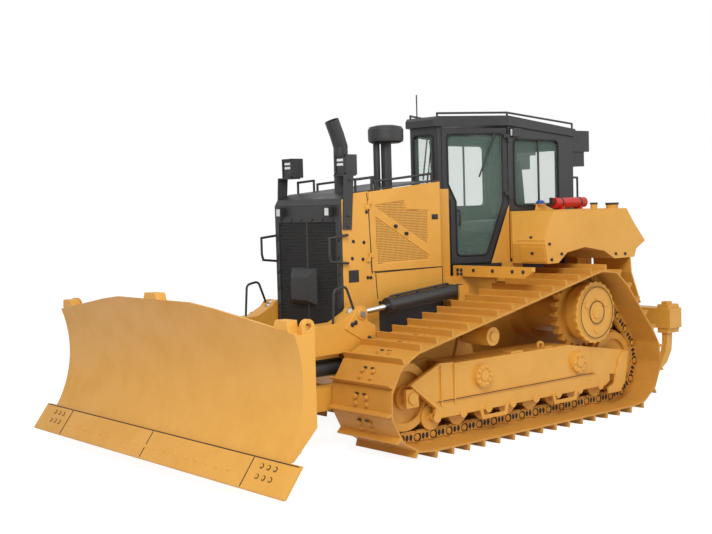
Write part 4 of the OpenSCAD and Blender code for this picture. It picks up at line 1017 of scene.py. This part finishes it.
class DOZER_OT_plumbing(bpy.types.Operator):
    """Oil pipes, clamps and head rings of the cylinders, and the C-frame's rails, fins, studs and pins"""

    bl_idname = "dozer.plumbing"
    bl_label = "Pipes and rails"

    def execute(self, context):
        size = context.scene.dozer_hardware.pipe
        route = [on_lift(140, 60), on_lift(140, 88), on_lift(950, 88), on_lift(950, 60)]
        pipes("lift_pipes", both_sides([route]), "lift_barrel_pair", "black enamel", size)
        heads = []
        for y in (LIFT_Y, -LIFT_Y):
            outline = []
            for turn in [math.pi * i / 18 for i in range(36)]:
                x, middle, z = on_lift(940, HEAD_RADIUS * math.cos(turn))
                outline.append((x, y + HEAD_RADIUS * math.sin(turn), z))
            heads.append((outline, (LIFT_RUN.x * HEAD_LENGTH, 0, LIFT_RUN.y * HEAD_LENGTH)))
        solid("lift_heads", heads, "lift_barrel_pair", "black enamel", bevel=0.006)
        above = Vector((LIFT_UP.x, 0, LIFT_UP.y))
        clamps = [(at(*on_lift(along, 66)), above) for along in (300, 560, 820)]
        bolts("lift_clamps", both_sides(clamps), "lift_barrel_pair", "black enamel", 0.02, 0.03, washer=1.2)
        for side, flip in (("l", 1), ("r", -1)):
            route = [on_angle(along, z, flip) for along, z in (
                (160, 815), (160, 838), (650, 838), (650, 815))]
            pipes("angle_pipe_" + side, [route], "angle_barrel_" + side, "black enamel", size)
        rail = [(351, 680, 1160), (327, 680, 1476), (186, 680, 1503), (90, 680, 1262)]
        pipes("arm_rails", both_sides([rail]), "c_frame", "black enamel", size, bend=0.05)
        fin = [side_plate([(94, 1300), (8, 1280), (-87, 1026), (-47, 945), (249, 1117)], 720, 729),
               disc((42, 729, 1236), 52, "y", 10, 28)]
        solid("arm_fins", mirrored(fin), "c_frame", "yellow enamel")
        outward = Vector(SIDEWAYS)
        studs = [(at(x, 729, z), outward) for x, z in ((160, 1150), (120, 1165), (-40, 1010), (-52, 985))]
        bolts("arm_studs", both_sides(studs), "c_frame", "black enamel", 0.016)
        pins = both_sides([(at(42, 739, 1236), outward)])
        bolts("tower_pins", pins, "c_frame", "steel pin", 0.028, 0.014, washer=1.0, sides=24)
        return {"FINISHED"}


class DOZER_OT_ripper(bpy.types.Operator):
    """Bolts of the plates that keep the ripper's shanks"""

    bl_idname = "dozer.ripper"
    bl_label = "Ripper hardware"

    def execute(self, context):
        back = [(-4760, s * 850 + y, z) for s in (-1, 0, 1) for y in (-52, 52) for z in (690, 940)]
        spots = seats("ripper_beam", back, (-1, 0, 0))
        bolts("keeper_bolts", spots, "ripper_carriage", "yellow enamel", 0.018)
        return {"FINISHED"}


CAMERA_AT = at(6848.28, 8575.07, 2227.30)
CAMERA_YAW, CAMERA_PITCH, CAMERA_ROLL = -2.281268, -0.0534171, -0.0276073


def aim_camera(lens):
    """The camera as solved from the photograph's own track and blade."""
    ahead = Vector((math.cos(CAMERA_YAW) * math.cos(CAMERA_PITCH),
                    math.sin(CAMERA_YAW) * math.cos(CAMERA_PITCH), math.sin(CAMERA_PITCH)))
    level = ahead.cross(Vector(UPWARD)).normalized()
    upright = level.cross(ahead)
    right = math.cos(CAMERA_ROLL) * level + math.sin(CAMERA_ROLL) * upright
    above = -math.sin(CAMERA_ROLL) * level + math.cos(CAMERA_ROLL) * upright
    data = bpy.data.cameras.new("photo_camera")
    data.sensor_width = 36
    data.lens = lens
    data.clip_end = 200
    camera = new_piece("photo_camera", data)
    turn = Matrix((right, above, -ahead)).transposed().to_4x4()
    camera.matrix_world = Matrix.Translation(CAMERA_AT) @ turn
    bpy.context.scene.camera = camera


def area_light(name, place, target, size, power):
    """A soft round light at a place, turned to a target."""
    data = bpy.data.lights.new(name, "AREA")
    data.shape = "DISK"
    data.size = size
    data.energy = power
    lamp = new_piece(name, data)
    lamp.location = place
    lamp.rotation_euler = (target - place).to_track_quat("-Z", "Y").to_euler()


def white_to_camera(tree):
    """One where the ray is seen directly, mirrored or through glass, else nought."""
    path = add(tree, "ShaderNodeLightPath")
    first = add(tree, "ShaderNodeMath", {
        0: path["Is Camera Ray"], 1: path["Is Glossy Ray"]}, operation="MAXIMUM")
    return add(tree, "ShaderNodeMath", {
        0: first["Value"], 1: path["Is Transmission Ray"]}, operation="MAXIMUM")["Value"]


# half the floor's width, in metres
FLOOR_HALF = 60


class DOZER_OT_stage(bpy.types.Operator):
    """Pale floor, even light and the camera"""

    bl_idname = "dozer.stage"
    bl_label = "Stage"

    def execute(self, context):
        stage = context.scene.dozer_stage
        context.scene.view_settings.view_transform = "Standard"
        aim_camera(stage.lens)
        target = Vector((0, 0, 1.2))
        area_light("key_light", Vector((7.0, 6.5, 8.5)), target, 6.0, stage.key)
        area_light("fill_light", Vector((-5.0, 8.0, 6.0)), target, 7.0, stage.key * 0.2)
        world = bpy.data.worlds.new("pale_room")
        world.use_nodes = True
        context.scene.world = world
        tree = world.node_tree
        tree.nodes.clear()
        power = add(tree, "ShaderNodeMix", {
            "Factor": white_to_camera(tree), "A": stage.world, "B": 1.0}, data_type="FLOAT")
        sky = add(tree, "ShaderNodeBackground", {"Color": WHITE, "Strength": power["Result"]})
        add(tree, "ShaderNodeOutputWorld", {"Surface": sky["Background"]})
        mesh = bpy.data.meshes.new("floor")
        corners = [(x * FLOOR_HALF, y * FLOOR_HALF, 0) for x, y in ((-1, -1), (1, -1), (1, 1), (-1, 1))]
        mesh.from_pydata(corners, [], [(0, 1, 2, 3)])
        floor = new_piece("floor", mesh)
        # a matt floor that shows nearly white but still takes the machine's shadow
        tree = new_finish("pale floor")
        matt = add(tree, "ShaderNodeBsdfDiffuse", {"Color": (0.86, 0.86, 0.86, 1.0)})
        glow = add(tree, "ShaderNodeEmission", {"Color": WHITE, "Strength": 1.48})
        share = add(tree, "ShaderNodeMath", {0: white_to_camera(tree), 1: 0.62}, operation="MULTIPLY")
        mixed = add(tree, "ShaderNodeMixShader", {
            0: share["Value"], 1: matt["BSDF"], 2: glow["Emission"]})
        add(tree, "ShaderNodeOutputMaterial", {"Surface": mixed["Shader"]})
        mesh.materials.append(material("pale floor"))
        return {"FINISHED"}


class DOZER_PT_panel(bpy.types.Panel):
    """Lists the steps that dress the bulldozer"""

    bl_idname = "DOZER_PT_panel"
    bl_label = "Bulldozer looks"
    bl_space_type = "VIEW_3D"
    bl_region_type = "UI"
    bl_category = "Dozer"

    def draw(self, context):
        for step in STEPS:
            self.layout.operator(step.bl_idname)
        for group in (context.scene.dozer_finish, context.scene.dozer_hardware, context.scene.dozer_stage):
            for name in group.__annotations__:
                self.layout.prop(group, name)


GROUPS = (DozerFinish, DozerHardware, DozerStage)
STEPS = (DOZER_OT_stage, DOZER_OT_finishes, DOZER_OT_tracks, DOZER_OT_running_gear, DOZER_OT_blade,
         DOZER_OT_lamps, DOZER_OT_grille, DOZER_OT_hood, DOZER_OT_cab, DOZER_OT_seat, DOZER_OT_fenders,
         DOZER_OT_plumbing, DOZER_OT_ripper)


def register():
    """Make the groups, steps and panel known to Blender."""
    for item in (*GROUPS, *STEPS, DOZER_PT_panel):
        bpy.utils.register_class(item)
    bpy.types.Scene.dozer_finish = bpy.props.PointerProperty(type=DozerFinish)
    bpy.types.Scene.dozer_hardware = bpy.props.PointerProperty(type=DozerHardware)
    bpy.types.Scene.dozer_stage = bpy.props.PointerProperty(type=DozerStage)


def unregister():
    """Take back what register() did, last first."""
    del bpy.types.Scene.dozer_stage
    del bpy.types.Scene.dozer_hardware
    del bpy.types.Scene.dozer_finish
    for item in reversed((*GROUPS, *STEPS, DOZER_PT_panel)):
        bpy.utils.unregister_class(item)


def main():
    """Run every step in order."""
    register()
    for step in STEPS:
        area, name = step.bl_idname.split(".")
        getattr(getattr(bpy.ops, area), name)()


if __name__ == "__main__":
    main()
